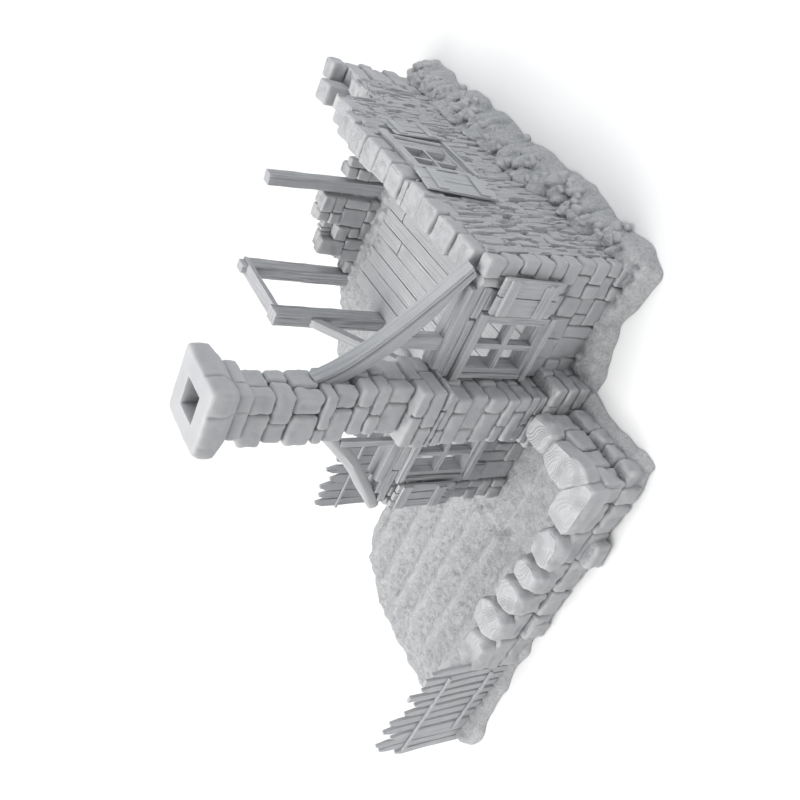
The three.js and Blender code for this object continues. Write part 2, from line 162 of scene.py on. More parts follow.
def stone(low, high, seed, radius=0.6, carve=0.2, turn=1.5, step=1.1, flakes=0.0):
    """A dressed stone that fills a box: rubbed, rounded edges, an uneven face and a slight turn out of true."""
    low, high = np.asarray(low, float), np.asarray(high, float)
    verts, quads, away = rounded_box((high - low) / 2, radius, [step * COARSE] * 3)
    centre = (low + high) / 2
    at = verts + centre
    push = carve * rugged(at, 2.6, seed) + 0.35 * carve * noise(at, 0.8, seed + 3)
    push -= 1.6 * carve * np.clip(noise(at, 3.4, seed + 5) - 0.35, 0, 1)
    if flakes:
        push += flakes * noise(at, np.array([0.9, 0.9, 5.0]), seed + 11)
    verts = verts + away * push[:, None]
    pick = np.random.default_rng(seed)
    angles = np.radians(pick.uniform(-turn, turn, 3))
    spin = Matrix.Rotation(angles[0], 4, "X") @ Matrix.Rotation(angles[1], 4, "Y") @ Matrix.Rotation(angles[2], 4, "Z")
    return Shape(verts, quads).moved(Matrix.Translation(centre) @ spin)


def plank(low, high, grain, seed, radius=0.3, groove=0.2, pitch=0.5, ragged=(0, 0), step=0.24, centre_groove=0.0):
    """A board that fills a box, with its grain along one axis and, where ragged is set, splintered ends."""
    low, high = np.asarray(low, float), np.asarray(high, float)
    half = (high - low) / 2
    steps = [step * COARSE] * 3
    steps[grain] = 1.6
    verts, quads, away = rounded_box(half, radius, steps)
    centre = (low + high) / 2
    at = verts + centre
    scale = np.full(3, pitch)
    scale[grain] = 30 * pitch
    fibre = noise(at, scale, seed)
    push = -groove * (1.5 * np.abs(fibre) ** 0.7 + 0.4 * noise(at, scale * 2.3, seed + 3))
    scale[grain] = 9 * pitch
    push += 0.4 * groove * noise(at, scale * 1.4, seed + 5)
    across = [k for k in range(3) if k != grain]
    wide = across[int(half[across[1]] > half[across[0]])]
    if centre_groove:
        push -= centre_groove * np.exp(-((verts[:, wide] / 0.34) ** 2))
    end = np.abs(away[:, grain]) > 0.9
    push[end] *= 0.3
    verts = verts + away * push[:, None]
    for side, depth in zip((-1, 1), ragged):
        if depth:
            share = np.clip((side * verts[:, grain] / half[grain] - 0.2) / 0.8, 0, 1) ** 2
            teeth = 0.5 + 0.5 * noise(at[:, [wide] * 3], 1.1, seed + 13 + side)
            verts[:, grain] -= side * depth * share * teeth
    return Shape(verts + centre, quads)


def beam(start, end, width, depth, seed, facing=(0, 1, 0), **look):
    """A plank between two points; depth is measured along the facing direction."""
    start, end = Vector(start), Vector(end)
    along = (end - start).normalized()
    side = Vector(facing)
    side = (side - along * side.dot(along)).normalized()
    third = along.cross(side)
    length = (end - start).length
    shape = plank((-width / 2, -depth / 2, 0), (width / 2, depth / 2, length), Z, seed, **look)
    turn = Matrix.Identity(4)
    for k in range(3):
        turn[k][0], turn[k][1], turn[k][2] = -third[k], side[k], along[k]
    return shape.moved(Matrix.Translation(start) @ turn)


def tube(path, radii, seed, sides=20, bark=0.25):
    """A closed round limb along a path of points."""
    path = np.asarray(path, float)
    fine = np.linspace(0, len(path) - 1, 6 * len(path))
    base = np.arange(len(path))
    line = np.stack([np.interp(fine, base, path[:, k]) for k in range(3)], 1)
    for _ in range(3):
        line[1:-1] = (line[:-2] + 2 * line[1:-1] + line[2:]) / 4
    radius = np.interp(fine, base, radii)
    tangent = np.gradient(line, axis=0)
    tangent /= np.linalg.norm(tangent, axis=1)[:, None]
    side = np.cross(tangent, [0, 1, 0])
    side /= np.linalg.norm(side, axis=1)[:, None]
    third = np.cross(tangent, side)
    angle = np.arange(sides) / sides * 2 * math.pi
    ring = np.cos(angle)[None, :, None] * side[:, None] + np.sin(angle)[None, :, None] * third[:, None]
    at = np.stack(np.broadcast_arrays(2.6 * np.cos(angle)[None], 2.6 * np.sin(angle)[None], fine[:, None]), -1)
    wear = bark * rugged(at.reshape(-1, 3) * [1, 1, 1.4], np.array([0.7, 0.7, 2.2]), seed).reshape(len(fine), sides)
    verts = (line[:, None] + ring * (radius[:, None] + wear)[..., None]).reshape(-1, 3)
    i = np.arange(len(fine) - 1)[:, None] * sides + np.arange(sides)[None]
    j = np.arange(len(fine) - 1)[:, None] * sides + (np.arange(sides)[None] + 1) % sides
    quads = np.stack([i, j, j + sides, i + sides], -1).reshape(-1, 4)
    ends = []
    for row, flip in ((0, True), (len(fine) - 1, False)):
        centre = len(verts)
        verts = np.vstack([verts, line[row]])
        for k in range(sides):
            a, b = row * sides + k, row * sides + (k + 1) % sides
            ends.append((centre, b, a) if flip else (centre, a, b))
    return Shape(verts, quads, ends)


def cobble(ring, low, high, seed, inset=1.0, carve=0.3):
    """A flat-topped boulder with faceted sides that lean out below its top."""
    ring = np.asarray(ring, float)
    after = np.roll(ring, -1, axis=0)
    ring = np.stack([0.9 * ring + 0.1 * after, 0.1 * ring + 0.9 * after], 1).reshape(-1, 2)
    loop = np.vstack([ring, ring[:1]])
    reach = np.concatenate([[0], np.cumsum(np.linalg.norm(np.diff(loop, axis=0), axis=1))])
    count = int(reach[-1] / (0.45 * COARSE))
    t = np.linspace(0, reach[-1], count, endpoint=False)
    ring = np.stack([np.interp(t, reach, loop[:, k]) for k in range(2)], 1)
    centre = ring.mean(0)
    size = np.linalg.norm(ring - centre, axis=1).mean()
    top = 1 - inset / size
    tall = high - low
    levels = [(0.0, low), (0.8, low), (0.97, low + 0.3), (1.0, low + 0.3 * tall), (1.0, low + 0.5 * tall)]
    levels += [(1.0 + (top - 1) * f ** 1.6, low + (0.5 + 0.42 * f) * tall) for f in (0.2, 0.4, 0.6, 0.8, 1.0)]
    levels += [(top - 0.16 / size, high - 0.06 * tall), (top - 0.5 / size, high)]
    levels += [((top - 0.5 / size) * f, high) for f in np.linspace(0.93, 0.0, 14)]
    verts = [np.column_stack([centre + (ring - centre) * max(f, 1e-3), np.full(count, z)]) for f, z in levels]
    verts = np.concatenate(verts)
    i = np.arange(len(levels) - 1)[:, None] * count + np.arange(count)[None]
    j = np.arange(len(levels) - 1)[:, None] * count + (np.arange(count)[None] + 1) % count
    quads = np.stack([i, j, j + count, i + count], -1).reshape(-1, 4)
    outward = np.column_stack([verts[:, :2] - centre, 0.3 * (verts[:, 2] - (low + high) / 2)])
    outward /= np.maximum(np.linalg.norm(outward, axis=1), 1e-6)[:, None]
    flat = verts[:, 2] > high - 0.02
    push = carve * rugged(verts, np.array([3.4, 3.4, 2.2]), seed) + 0.25 * carve * noise(verts, 0.9, seed + 3)
    outward[flat] = (0, 0, 1)
    push[flat] = 0.5 * carve * rugged(verts[flat], 5.0, seed + 9)
    return Shape(verts + outward * push[:, None], quads)


def loft(rings):
    """Skins a list of closed loops that all have the same number of points."""
    count = len(rings[0])
    verts = np.concatenate(rings)
    i = np.arange(len(rings) - 1)[:, None] * count + np.arange(count)[None]
    j = np.arange(len(rings) - 1)[:, None] * count + (np.arange(count)[None] + 1) % count
    return Shape(verts, np.stack([i, j, j + count, i + count], -1).reshape(-1, 4))


# ---- materials: one grey casting resin, carved as stone, timber and soil ----


def node(tree, kind, **inputs):
    made = tree.nodes.new(kind)
    for key, value in inputs.items():
        made.inputs[key.replace("_", " ")].default_value = value
    return made


def resin(name, dark, light, grain, grain_depth, layer_depth, grit=0.25):
    """Matte grey resin: cloudy tone, bluish painted shade in the hollows, painted highlight on convex edges, pitting
    and the terraces of printed layers.
    """
    material = bpy.data.materials.new(name)
    material.use_nodes = True
    tree = material.node_tree
    tree.nodes.clear()
    link = tree.links.new
    out = tree.nodes.new("ShaderNodeOutputMaterial")
    shade = node(tree, "ShaderNodeBsdfPrincipled", Roughness=0.58)
    shade.inputs["Specular IOR Level"].default_value = 0.35
    link(shade.outputs[0], out.inputs[0])
    place = tree.nodes.new("ShaderNodeNewGeometry")

    def maths(kind, *values):
        made = tree.nodes.new("ShaderNodeMath")
        made.operation = kind
        for k, value in enumerate(values):
            if isinstance(value, (int, float)):
                made.inputs[k].default_value = value
            else:
                link(value, made.inputs[k])
        return made.outputs[0]

    def mixed(blend, factor, first, second):
        made = tree.nodes.new("ShaderNodeMix")
        made.data_type = "RGBA"
        made.blend_type = blend
        for key, value in (("Factor", factor), ("A", first), ("B", second)):
            if isinstance(value, (float, tuple)):
                made.inputs[key].default_value = value
            else:
                link(value, made.inputs[key])
        return made.outputs["Result"]

    cloud = node(tree, "ShaderNodeTexNoise", Scale=140, Detail=5, Roughness=0.6)
    link(place.outputs["Position"], cloud.inputs["Vector"])
    tone = mixed("MIX", cloud.outputs["Fac"], (*dark, 1), (*light, 1))

    # Painted light: pointiness paints a bluish shade into hollows and creases and a pale highlight onto convex edges.
    painted_light_ramp = tree.nodes.new("ShaderNodeValToRGB")
    painted_light_ramp.color_ramp.elements[0].position = 0.42
    painted_light_ramp.color_ramp.elements[0].color = (0.4, 0.415, 0.45, 1)
    painted_light_ramp.color_ramp.elements[1].position = 0.57
    painted_light_ramp.color_ramp.elements[1].color = (1.2, 1.19, 1.17, 1)
    middle = painted_light_ramp.color_ramp.elements.new(0.495)
    middle.color = (0.98, 0.98, 0.985, 1)
    link(place.outputs["Pointiness"], painted_light_ramp.inputs["Fac"])
    # The cloudy tone times the painted shade and painted highlight.
    tone_with_painted_light = mixed("MULTIPLY", 0.85, tone, painted_light_ramp.outputs["Color"])

    pits = node(tree, "ShaderNodeTexNoise", Scale=grain, Detail=4, Roughness=0.65)
    link(place.outputs["Position"], pits.inputs["Vector"])
    speck = tree.nodes.new("ShaderNodeValToRGB")
    speck.color_ramp.elements[0].position = 0.3
    speck.color_ramp.elements[0].color = (1 - 1.6 * grit,) * 3 + (1,)
    speck.color_ramp.elements[1].position = 0.7
    speck.color_ramp.elements[1].color = (1 + 0.4 * grit,) * 3 + (1,)
    link(pits.outputs["Fac"], speck.inputs["Fac"])
    link(mixed("MULTIPLY", 1.0, tone_with_painted_light, speck.outputs["Color"]), shade.inputs["Base Color"])

    parts = tree.nodes.new("ShaderNodeSeparateXYZ")
    link(place.outputs["Position"], parts.inputs[0])
    facing = tree.nodes.new("ShaderNodeSeparateXYZ")
    link(place.outputs["True Normal"], facing.inputs[0])
    swirl = node(tree, "ShaderNodeTexNoise", Scale=120, Detail=0, Roughness=0.5)
    link(place.outputs["Position"], swirl.inputs["Vector"])
    level = maths("ADD", parts.outputs["Z"], maths("MULTIPLY", swirl.outputs["Fac"], SWIRL))
    steps = maths("PINGPONG", level, LAYER / 2)
    flat = maths("MULTIPLY", maths("SUBTRACT", maths("ABSOLUTE", facing.outputs["Z"]), 0.93), 20.0)
    flat = maths("MINIMUM", maths("MAXIMUM", flat, 0.0), maths("LESS_THAN", parts.outputs["Z"], 58 * MM))
    walls = maths("PINGPONG", parts.outputs["Z"], LAYER / 4)
    height = maths("ADD", maths("MULTIPLY", steps, flat), maths("MULTIPLY", walls, 0.25))
    fine = node(tree, "ShaderNodeBump", Strength=1.0, Distance=grain_depth)
    link(pits.outputs["Fac"], fine.inputs["Height"])
    terrace = node(tree, "ShaderNodeBump", Strength=1.0, Distance=layer_depth)
    link(height, terrace.inputs["Height"])
    link(fine.outputs["Normal"], terrace.inputs["Normal"])
    link(terrace.outputs["Normal"], shade.inputs["Normal"])
    return material


LAYER = 0.16 * MM
SWIRL = 2.8 * MM
RESIN = {
    "stone": resin("resin_stone", (0.385, 0.388, 0.403), (0.505, 0.507, 0.517), 2400, 0.05 * MM, 2.6, 0.03),
    "wood": resin("resin_wood", (0.37, 0.375, 0.39), (0.49, 0.492, 0.502), 3000, 0.05 * MM, 1.2, 0.04),
    "soil": resin("resin_soil", (0.39, 0.395, 0.408), (0.56, 0.562, 0.572), 1300, 0.6 * MM, 0.6, 0.2),
}


def mesh_piece(name, nodes, slot, shapes, sharp=38):
    """Makes one visible piece from shapes; it stands for the given CAD nodes."""
    whole = joined(shapes)
    whole.verts[:, Z] = np.maximum(whole.verts[:, Z], 0.02)
    mesh = bpy.data.meshes.new(name)
    mesh.vertices.add(len(whole.verts))
    mesh.vertices.foreach_set("co", (whole.verts * MM + CORNER).ravel())
    loops = np.concatenate([whole.quads.ravel(), whole.tris.ravel()])
    mesh.loops.add(len(loops))
    mesh.loops.foreach_set("vertex_index", loops.astype(np.int32))
    quads, tris = len(whole.quads), len(whole.tris)
    mesh.polygons.add(quads + tris)
    starts = np.concatenate([np.arange(quads) * 4, 4 * quads + np.arange(tris) * 3])
    mesh.polygons.foreach_set("loop_start", starts.astype(np.int32))
    mesh.update(calc_edges=True)
    mesh.validate()
    mesh.polygons.foreach_set("use_smooth", np.ones(len(mesh.polygons), bool))
    mesh.set_sharp_from_angle(angle=math.radians(sharp))
    made = bpy.data.objects.new(name, mesh)
    bpy.context.scene.collection.objects.link(made)
    mesh.materials.append(RESIN[slot])
    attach(made, "root")
    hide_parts(*nodes)
    return made


# ---- masonry ----


def courses(low, high, height, pick):
    """Course boundaries between two heights."""
    count = max(1, round((high - low) / height))
    edges = np.linspace(low, high, count + 1)
    edges[1:-1] += pick.uniform(-0.13, 0.13, count - 1) * height
    return edges


def shaft_course(plan, z0, z1, big_left, seed, proud=0.5, radius=1.1, carve=0.26):
    """One course of four squared blocks; the wide one alternates from side to side."""
    pick = np.random.default_rng(seed)
    (x0, y0), (x1, y1) = plan
    share = pick.uniform(0.56, 0.7)
    sx = x0 + (x1 - x0) * (share if big_left else 1 - share)
    made = []
    for k, (a, b) in enumerate(((x0, sx), (sx, x1))):
        sy = y0 + (y1 - y0) * (pick.uniform(0.5, 0.62) if (k == 0) == big_left else pick.uniform(0.36, 0.48))
        for m, (c, d) in enumerate(((y0, sy), (sy, y1))):
            out = pick.uniform(-proud, proud, 2)
            low = [a, c, z0 + 0.14 + pick.uniform(0, 0.16)]
            high = [b, d, z1 - 0.14 - pick.uniform(0, 0.16)]
            low[0] += -out[0] if k == 0 else 0.13
            high[0] += out[0] if k == 1 else -0.13
            low[1] += -out[1] if m == 0 else 0.13
            high[1] += out[1] if m == 1 else -0.13
            made.append(stone(low, high, seed * 31 + 7 * k + m, radius, carve, 1.6, 0.8))
    return made


def filler(low, high):
    """A plain mortar core behind stones."""
    low, high = np.asarray(low, float), np.asarray(high, float)
    verts, quads, _ = rounded_box((high - low) / 2, 0.2, [3.0] * 3)
    return Shape(verts + (low + high) / 2, quads)


def wall_stones(u_range, z_range, size, pick, keep=None, tall=0.18):
    """Splits a wall face into stones (u0, u1, z0, z1); keep(u, z) says where the wall stands."""
    found = []
    edges = courses(z_range[0], z_range[1], size[1], pick)
    taken = []
    for row, (z0, z1) in enumerate(zip(edges[:-1], edges[1:])):
        u = u_range[0]
        while u < u_range[1] - 0.4:
            width = size[0] * pick.uniform(0.62, 1.45)
            end = u + width
            if u_range[1] - end < 0.5 * size[0]:
                end = u_range[1]
            top = z1
            if row + 2 < len(edges) and pick.random() < tall:
                top = edges[row + 2]
            mine = [u, end, z0, top]
            for other in taken:
                if other[0] < mine[1] - 0.1 and mine[0] < other[1] - 0.1 and other[3] > z0 + 0.1 and other[2] < z0:
                    if other[0] <= mine[0] + 0.1:
                        mine[0] = max(mine[0], other[1])
                    else:
                        mine[1] = min(mine[1], other[0])
            end = max(mine[1], u + 0.5)
            if mine[1] - mine[0] > 1.0:
                middle = ((mine[0] + mine[1]) / 2, (mine[2] + mine[3]) / 2)
                if keep is None or keep(*middle):
                    found.append(tuple(mine))
                if top > z1:
                    taken.append(tuple(mine))
            u = end
    return found


def outer_face(z):
    return WALL_FOOT - BATTER * max(0.0, z - BATTER_FOOT)


# ---- ground ----


def footprint(node_name):
    """The outline of a flat CAD slab, in order round its top face."""
    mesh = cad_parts[node_name].data
    top = max(v.co.z for v in mesh.vertices)
    near = {}
    spot = lambda v: (round(v.co.x / MM, 2), round(v.co.y / MM, 2))
    count = {}
    for face in mesh.polygons:
        corners = [mesh.vertices[i] for i in face.vertices]
        if all(abs(v.co.z - top) < 1e-5 for v in corners):
            for a, b in zip(corners, corners[1:] + corners[:1]):
                key = (spot(a), spot(b))
                count[key] = count.get(key, 0) + 1
    for (a, b) in count:
        if (b, a) not in count:
            near[a] = b
    start = next(iter(near))
    loop, at = [start], near[start]
    while at != start:
        loop.append(at)
        at = near[at]
    return np.array(loop) - CORNER[:2] / MM


def edge_distance(points, loop):
    """How far each point is from an outline."""
    best = np.full(len(points), 1e9)
    for a, b in zip(loop, np.roll(loop, -1, axis=0)):
        d = b - a
        t = np.clip(((points - a) @ d) / (d @ d), 0, 1)
        best = np.minimum(best, np.linalg.norm(points - (a + t[:, None] * d), axis=1))
    return best


def inside(points, loop):
    hit = np.zeros(len(points), bool)
    for (ax, ay), (bx, by) in zip(loop, np.roll(loop, -1, axis=0)):
        if ay == by:
            continue
        crosses = (ay > points[:, 1]) != (by > points[:, 1])
        at = ax + (points[:, 1] - ay) / (by - ay) * (bx - ax)
        hit ^= crosses & (points[:, 0] < at)
    return hit


HOUSE_LOOP = footprint("house_base")
GARDEN_LOOP = footprint("garden_base")
SEAMS = [
    (np.array([-6.0, -10.0]), np.array([-6.0, 44.0])),
    (np.array([-30.0, 44.0]), np.array([-6.0, 44.0])),
    (np.array([-6.0, -10.0]), np.array([52.0, -10.0])),
]


def on_seam(a, b):
    """Whether an outline edge is shared by the two base slabs."""
    for p, q in SEAMS:
        d = (q - p) / np.linalg.norm(q - p)
        off = [abs(d[0] * (v - p)[1] - d[1] * (v - p)[0]) for v in (a, b)]
        reach = [(v - p) @ d for v in (a, b)]
        if max(off) < 0.05 and min(reach) > -0.05 and max(reach) < np.linalg.norm(q - p) + 0.05:
            return True
    return False


def rim_push(flat):
    """How far the ragged rim stands outside the plain outline."""
    return 1.1 * noise(flat, 6.0, 51) + 0.6 * noise(flat, 2.6, 52) - 0.4


def rim_distance(points):
    """How far each point is inside the model's ragged free rim."""
    best = np.full(len(points), 1e9)
    for loop in (HOUSE_LOOP, GARDEN_LOOP):
        for a, b in zip(loop, np.roll(loop, -1, axis=0)):
            if on_seam(a, b):
                continue
            d = b - a
            t = np.clip(((points - a) @ d) / (d @ d), 0, 1)
            best = np.minimum(best, np.linalg.norm(points - (a + t[:, None] * d), axis=1))
    outside = ~(inside(points, HOUSE_LOOP) | inside(points, GARDEN_LOOP)) & (best < 2.2)
    flat = np.column_stack([points, np.zeros(len(points))])
    return np.maximum(np.where(outside, -best, best) + rim_push(flat), 0)


ROCKS = np.random.default_rng(88)
BANK_ROCKS = []
for _ in range(190):
    BANK_ROCKS.append((ROCKS.uniform(88.0, 98.0), ROCKS.uniform(-6, 132), ROCKS.uniform(1.6, 2.9), ROCKS.uniform(1.4, 3.2)))
for _ in range(150):
    BANK_ROCKS.append((ROCKS.uniform(52, 92), ROCKS.uniform(-10, -0.5), ROCKS.uniform(0.8, 2.4), ROCKS.uniform(0.4, 1.5)))
for _ in range(260):
    BANK_ROCKS.append((ROCKS.uniform(-28, 96), ROCKS.uniform(112, 136), ROCKS.uniform(0.8, 2.4), ROCKS.uniform(0.3, 1.2)))
for _ in range(120):
    BANK_ROCKS.append((ROCKS.uniform(-84, -66), ROCKS.uniform(-45, 44), ROCKS.uniform(0.7, 2.0), ROCKS.uniform(0.2, 0.8)))

FURROW_PITCH = 11.0


def ground_height(points):
    """Height of the ground: ragged rim, dug furrows, and rubble banked against the walls."""
    flat = np.column_stack([points, np.zeros(len(points))])
    rim = rim_distance(points)
    x, y = points[:, 0], points[:, 1]
    rise = np.clip(rim / 3.4, 0, 1)
    height = 0.25 + (GROUND - 0.25) * (1 - (1 - rise) ** 2.2)
    calm = np.clip(rim / 4.0, 0.2, 1)
    height += (0.45 * rugged(flat, 3.8, 21) + 0.2 * rugged(flat, 1.3, 22)) * calm
    bed = np.clip((x + 74) / 8, 0, 1) * np.clip((-4 - x) / 4, 0, 1) * np.clip((y + 30) / 4, 0, 1) * np.clip((42 - y) / 5, 0, 1)
    bend = 0.9 * noise(flat, 16.0, 31)
    wave = 0.5 + 0.5 * np.cos((y + bend + 21) / FURROW_PITCH * 2 * math.pi)
    clods = 0.22 * rugged(flat, np.array([1.3, 0.9, 1.0]), 32) + 0.4 * np.abs(noise(flat, 0.9, 33))
    height += bed * (0.1 + 2.6 * wave ** 1.1 + clods * (1.25 - 1.0 * wave))
    bank = np.clip((x - 82.5) / 2, 0, 1) * np.clip((y + 2) / 8, 0, 1) * np.clip((128 - y) / 10, 0, 1)
    slope = np.clip((97.0 - x) / 8.0, 0, 1) ** 1.25
    swell = 0.6 + 0.6 * np.clip((y - 8) / 40, 0, 1)
    height += bank * slope * swell * (8.0 + 1.8 * noise(flat, 9.0, 41)) * np.clip(rim / 3.0, 0, 1)
    foot = np.clip((y + 9) / 8, 0, 1) * np.clip((4 - y) / 4, 0, 1) * np.clip((x - 52) / 4, 0, 1)
    height += 0.9 * foot * np.clip(rim / 3.0, 0, 1)
    heap = np.exp(-(((x - 20) / 26) ** 2 + ((y - 117) / 5) ** 2)) + 0.8 * np.exp(-(((x - 66) / 16) ** 2 + ((y - 117) / 5) ** 2))
    height += heap * (2.0 + 0.8 * noise(flat, 4.0, 43))
    mound = np.exp(-(((x + 78.5) / 4.0) ** 2 + ((y + 39.5) / 4.0) ** 2))
    height += 3.6 * mound * np.clip(rim / 2.0, 0, 1)
    pile = np.zeros(len(points))
    for rx, ry, radius, tall in BANK_ROCKS:
        near = np.flatnonzero((np.abs(x - rx) < radius) & (np.abs(y - ry) < radius))
        if len(near):
            d = ((x[near] - rx) ** 2 + (y[near] - ry) ** 2) / radius ** 2
            pile[near] = np.maximum(pile[near], np.clip(1 - d, 0, 1) ** 0.5 * tall)
    height += pile * np.clip(rim / 2.0, 0.1, 1)
    return np.maximum(height, 0.2)


def ground_piece(name, nodes, loop, pitch):
    """A base slab: flat underneath, ragged round the rim, with the ground's relief on top."""
    ring, loose = [], []
    for before, a, b in zip(np.roll(loop, 1, axis=0), loop, np.roll(loop, -1, axis=0)):
        length = np.linalg.norm(b - a)
        count = max(1, round(length / 1.0))
        points = a + np.arange(count)[:, None] / count * (b - a)
        free = np.full(count, not on_seam(a, b))
        free[0] &= not on_seam(before, a)
        normal = np.array([b[1] - a[1], a[0] - b[0]]) / length
        flat = np.column_stack([points, np.zeros(count)])
        push = rim_push(flat) * free
        ring.append(points + push[:, None] * normal)
        loose.append(free)
    ring, loose = np.concatenate(ring), np.concatenate(loose)
    for _ in range(2):
        eased = 0.5 * ring + 0.25 * (np.roll(ring, 1, axis=0) + np.roll(ring, -1, axis=0))
        ring = np.where(loose[:, None], eased, ring)
    pick = np.random.default_rng(5)
    low, high = ring.min(0), ring.max(0)
    xs, ys = np.meshgrid(np.arange(low[0], high[0], pitch), np.arange(low[1], high[1], pitch))
    field = np.column_stack([xs.ravel(), ys.ravel()]) + pick.uniform(-0.28, 0.28, (xs.size, 2)) * pitch
    field = field[inside(field, ring)]
    field = field[edge_distance(field, ring) > 0.45 * pitch]
    every = [Vector(p) for p in np.concatenate([ring, field])]
    edges = [(i, (i + 1) % len(ring)) for i in range(len(ring))]
    verts, rim_edges, faces, *_ = delaunay_2d_cdt(every, edges, [], 1, 1e-5)
    plan = np.array([tuple(v) for v in verts])
    tris = np.array([f for f in faces if len(f) == 3])
    turn = np.cross(plan[tris[:, 1]] - plan[tris[:, 0]], plan[tris[:, 2]] - plan[tris[:, 0]])
    tris[turn < 0] = tris[turn < 0][:, ::-1]
    count = len(plan)
    sides = {}
    for a, b, c in tris:
        for e in ((a, b), (b, c), (c, a)):
            sides[e] = True
    wall = [(b, a, a + count, b + count) for a, b in sides if (b, a) not in sides]
    height = ground_height(plan)
    top = np.column_stack([plan, height])
    bottom = np.column_stack([plan, np.zeros(count)])
    return mesh_piece(name, nodes, "soil", [Shape(np.vstack([top, bottom]), wall, np.vstack([tris, tris[:, ::-1] + count]))], 60)


PITCH = 0.62 * COARSE ** 2
ground_piece("garden_ground", ["garden_base", "soil_furrows"], GARDEN_LOOP, PITCH)
ground_piece("house_ground", ["house_base"], HOUSE_LOOP, PITCH)


def pebble(size, seed):
    """A worn round stone about its own centre."""
    verts, quads, away = rounded_box(size, size.min(), [0.5 * COARSE] * 3, 0.9)
    return Shape(verts + away * (0.16 * rugged(verts + seed, 1.6, seed))[:, None], quads)


def rubble():
    """Worn stones half sunk in the bank at the long wall's foot."""
    pick = np.random.default_rng(90)
    rocks = []
    low, high = span("rubble_bank")
    for k in range(90):
        y = pick.uniform(low[Y] + 2, high[Y] + 8)
        x = low[X] + 0.6 + 6.0 * pick.random()
        size = pick.uniform(0.8, 1.8, 3) * [1.0, 1.2, 0.8]
        base = ground_height(np.array([[x, y]]))[0]
        spin = Matrix.Rotation(pick.uniform(0, 6.28), 4, "Z") @ Matrix.Rotation(pick.uniform(-0.4, 0.4), 4, "X")
        rocks.append(pebble(size, 9000 + k).moved(Matrix.Translation((x, y, base - 0.62 * size[2])) @ spin))
    mesh_piece("rubble", ["rubble_bank"], "stone", rocks, 60)


rubble()


# ---- floor ----


def floorboards():
    pick = np.random.default_rng(12)
    for strip in range(1, 5):
        low, high = span(f"floorboards_{strip}")
        boards = [filler((low[X], low[Y], low[Z]), (high[X], high[Y] - 3, high[Z] - 0.7))]
        edges = np.linspace(low[X], high[X] + 0.4, 4)
        for k, (x0, x1) in enumerate(zip(edges[:-1], edges[1:])):
            y = low[Y]
            while y < high[Y] - 4:
                end = min(y + pick.uniform(26, 60), high[Y] + pick.uniform(-3.0, 0.5))
                if high[Y] - end < 9:
                    end = high[Y] - pick.uniform(0, 2.5)
                lift = pick.uniform(-0.18, 0.18)
                seed = 700 + strip * 40 + k * 7 + int(y)
                inner = (x0 + 0.07, y + 0.08, low[Z] + 0.2)
                outer = (x1 - 0.07, end - 0.08, high[Z] + lift)
                boards.append(plank(inner, outer, Y, seed, 0.16, 0.15, 0.55, (0.5 if y > low[Y] else 0, 0.6), 0.3))
                y = end
        mesh_piece(f"floor_{strip}", [f"floorboards_{strip}"], "wood", boards)


floorboards()


# ---- gable ----


def casement(name, cad, turn, stiles=(3.2, 3.2), bar=1.7, brow=0.6):
    """A four-pane window frame with a board lintel, a projecting sill and crossed glazing bars."""
    low, high = span(cad)
    along = X if turn == 0 else Y
    across = Y if turn == 0 else X
    front = low[across] if turn == 0 else high[across]
    back = high[across] if turn == 0 else low[across]
    out = -1 if turn == 0 else 1
    a0, a1, z0, z1 = low[along], high[along], low[Z], high[Z]

    def part(u0, u1, v0, v1, proud, deep, grain, seed, **look):
        lo, hi = np.zeros(3), np.zeros(3)
        lo[along], hi[along], lo[Z], hi[Z] = u0, u1, v0, v1
        ends = sorted((front + out * proud, back if deep is None else front - out * deep))
        lo[across], hi[across] = ends
        return plank(lo, hi, along if grain == "u" else Z, seed, **look)

    stile, head = 3.2, 3.6
    mid = (a0 + stiles[0] + a1 - stiles[1]) / 2
    sash_low, sash_high = z0 + stile, z1 - head
    cross = (sash_low + sash_high) / 2
    seed = int(abs(a0) * 13 + abs(z0) * 7)
    shapes = []
    for k, (side, u0, u1) in enumerate(((0, a0, a0 + stiles[0]), (1, a1 - stiles[1], a1))):
        count = max(1, round((u1 - u0) / 1.7))
        for m, (u, v) in enumerate(zip(np.linspace(u0, u1, count + 1)[:-1], np.linspace(u0, u1, count + 1)[1:])):
            inner = (m == count - 1) != bool(side) and count > 1
            proud = -0.7 if inner else 0.0
            shapes.append(part(u + 0.02, v + 0.04, z0 + 2.0, z1 - 2.2, proud, None, "v", seed + 20 * k + m, centre_groove=0.12))
    shapes += [
        part(a0 + 0.6, a1 - 0.6, z1 - head, z1 - 2.3, -0.5, None, "u", seed + 5),
        part(a0 + 0.6, a1 - 0.6, z0 + 1.8, sash_low, -0.5, None, "u", seed + 6),
        part(a0 - brow, a1 + brow, z1 - 2.5, z1, 0.4, None, "u", seed + 7, ragged=(0.6, 0.7)),
        part(a0 - 0.3, a1 + 0.5, z0, z0 + 2.0, 0.6, None, "u", seed + 8, centre_groove=0.15),
        part(mid - bar / 2, mid + bar / 2, sash_low - 0.2, sash_high + 0.2, -0.9, 4.2, "v", seed + 9, radius=0.2),
        part(a0 + stiles[0] - 0.2, a1 - stiles[1] + 0.2, cross - bar / 2, cross + bar / 2, -0.7, 4.0, "u", seed + 10, radius=0.2),
    ]
    mesh_piece(name, [cad], "wood", shapes)


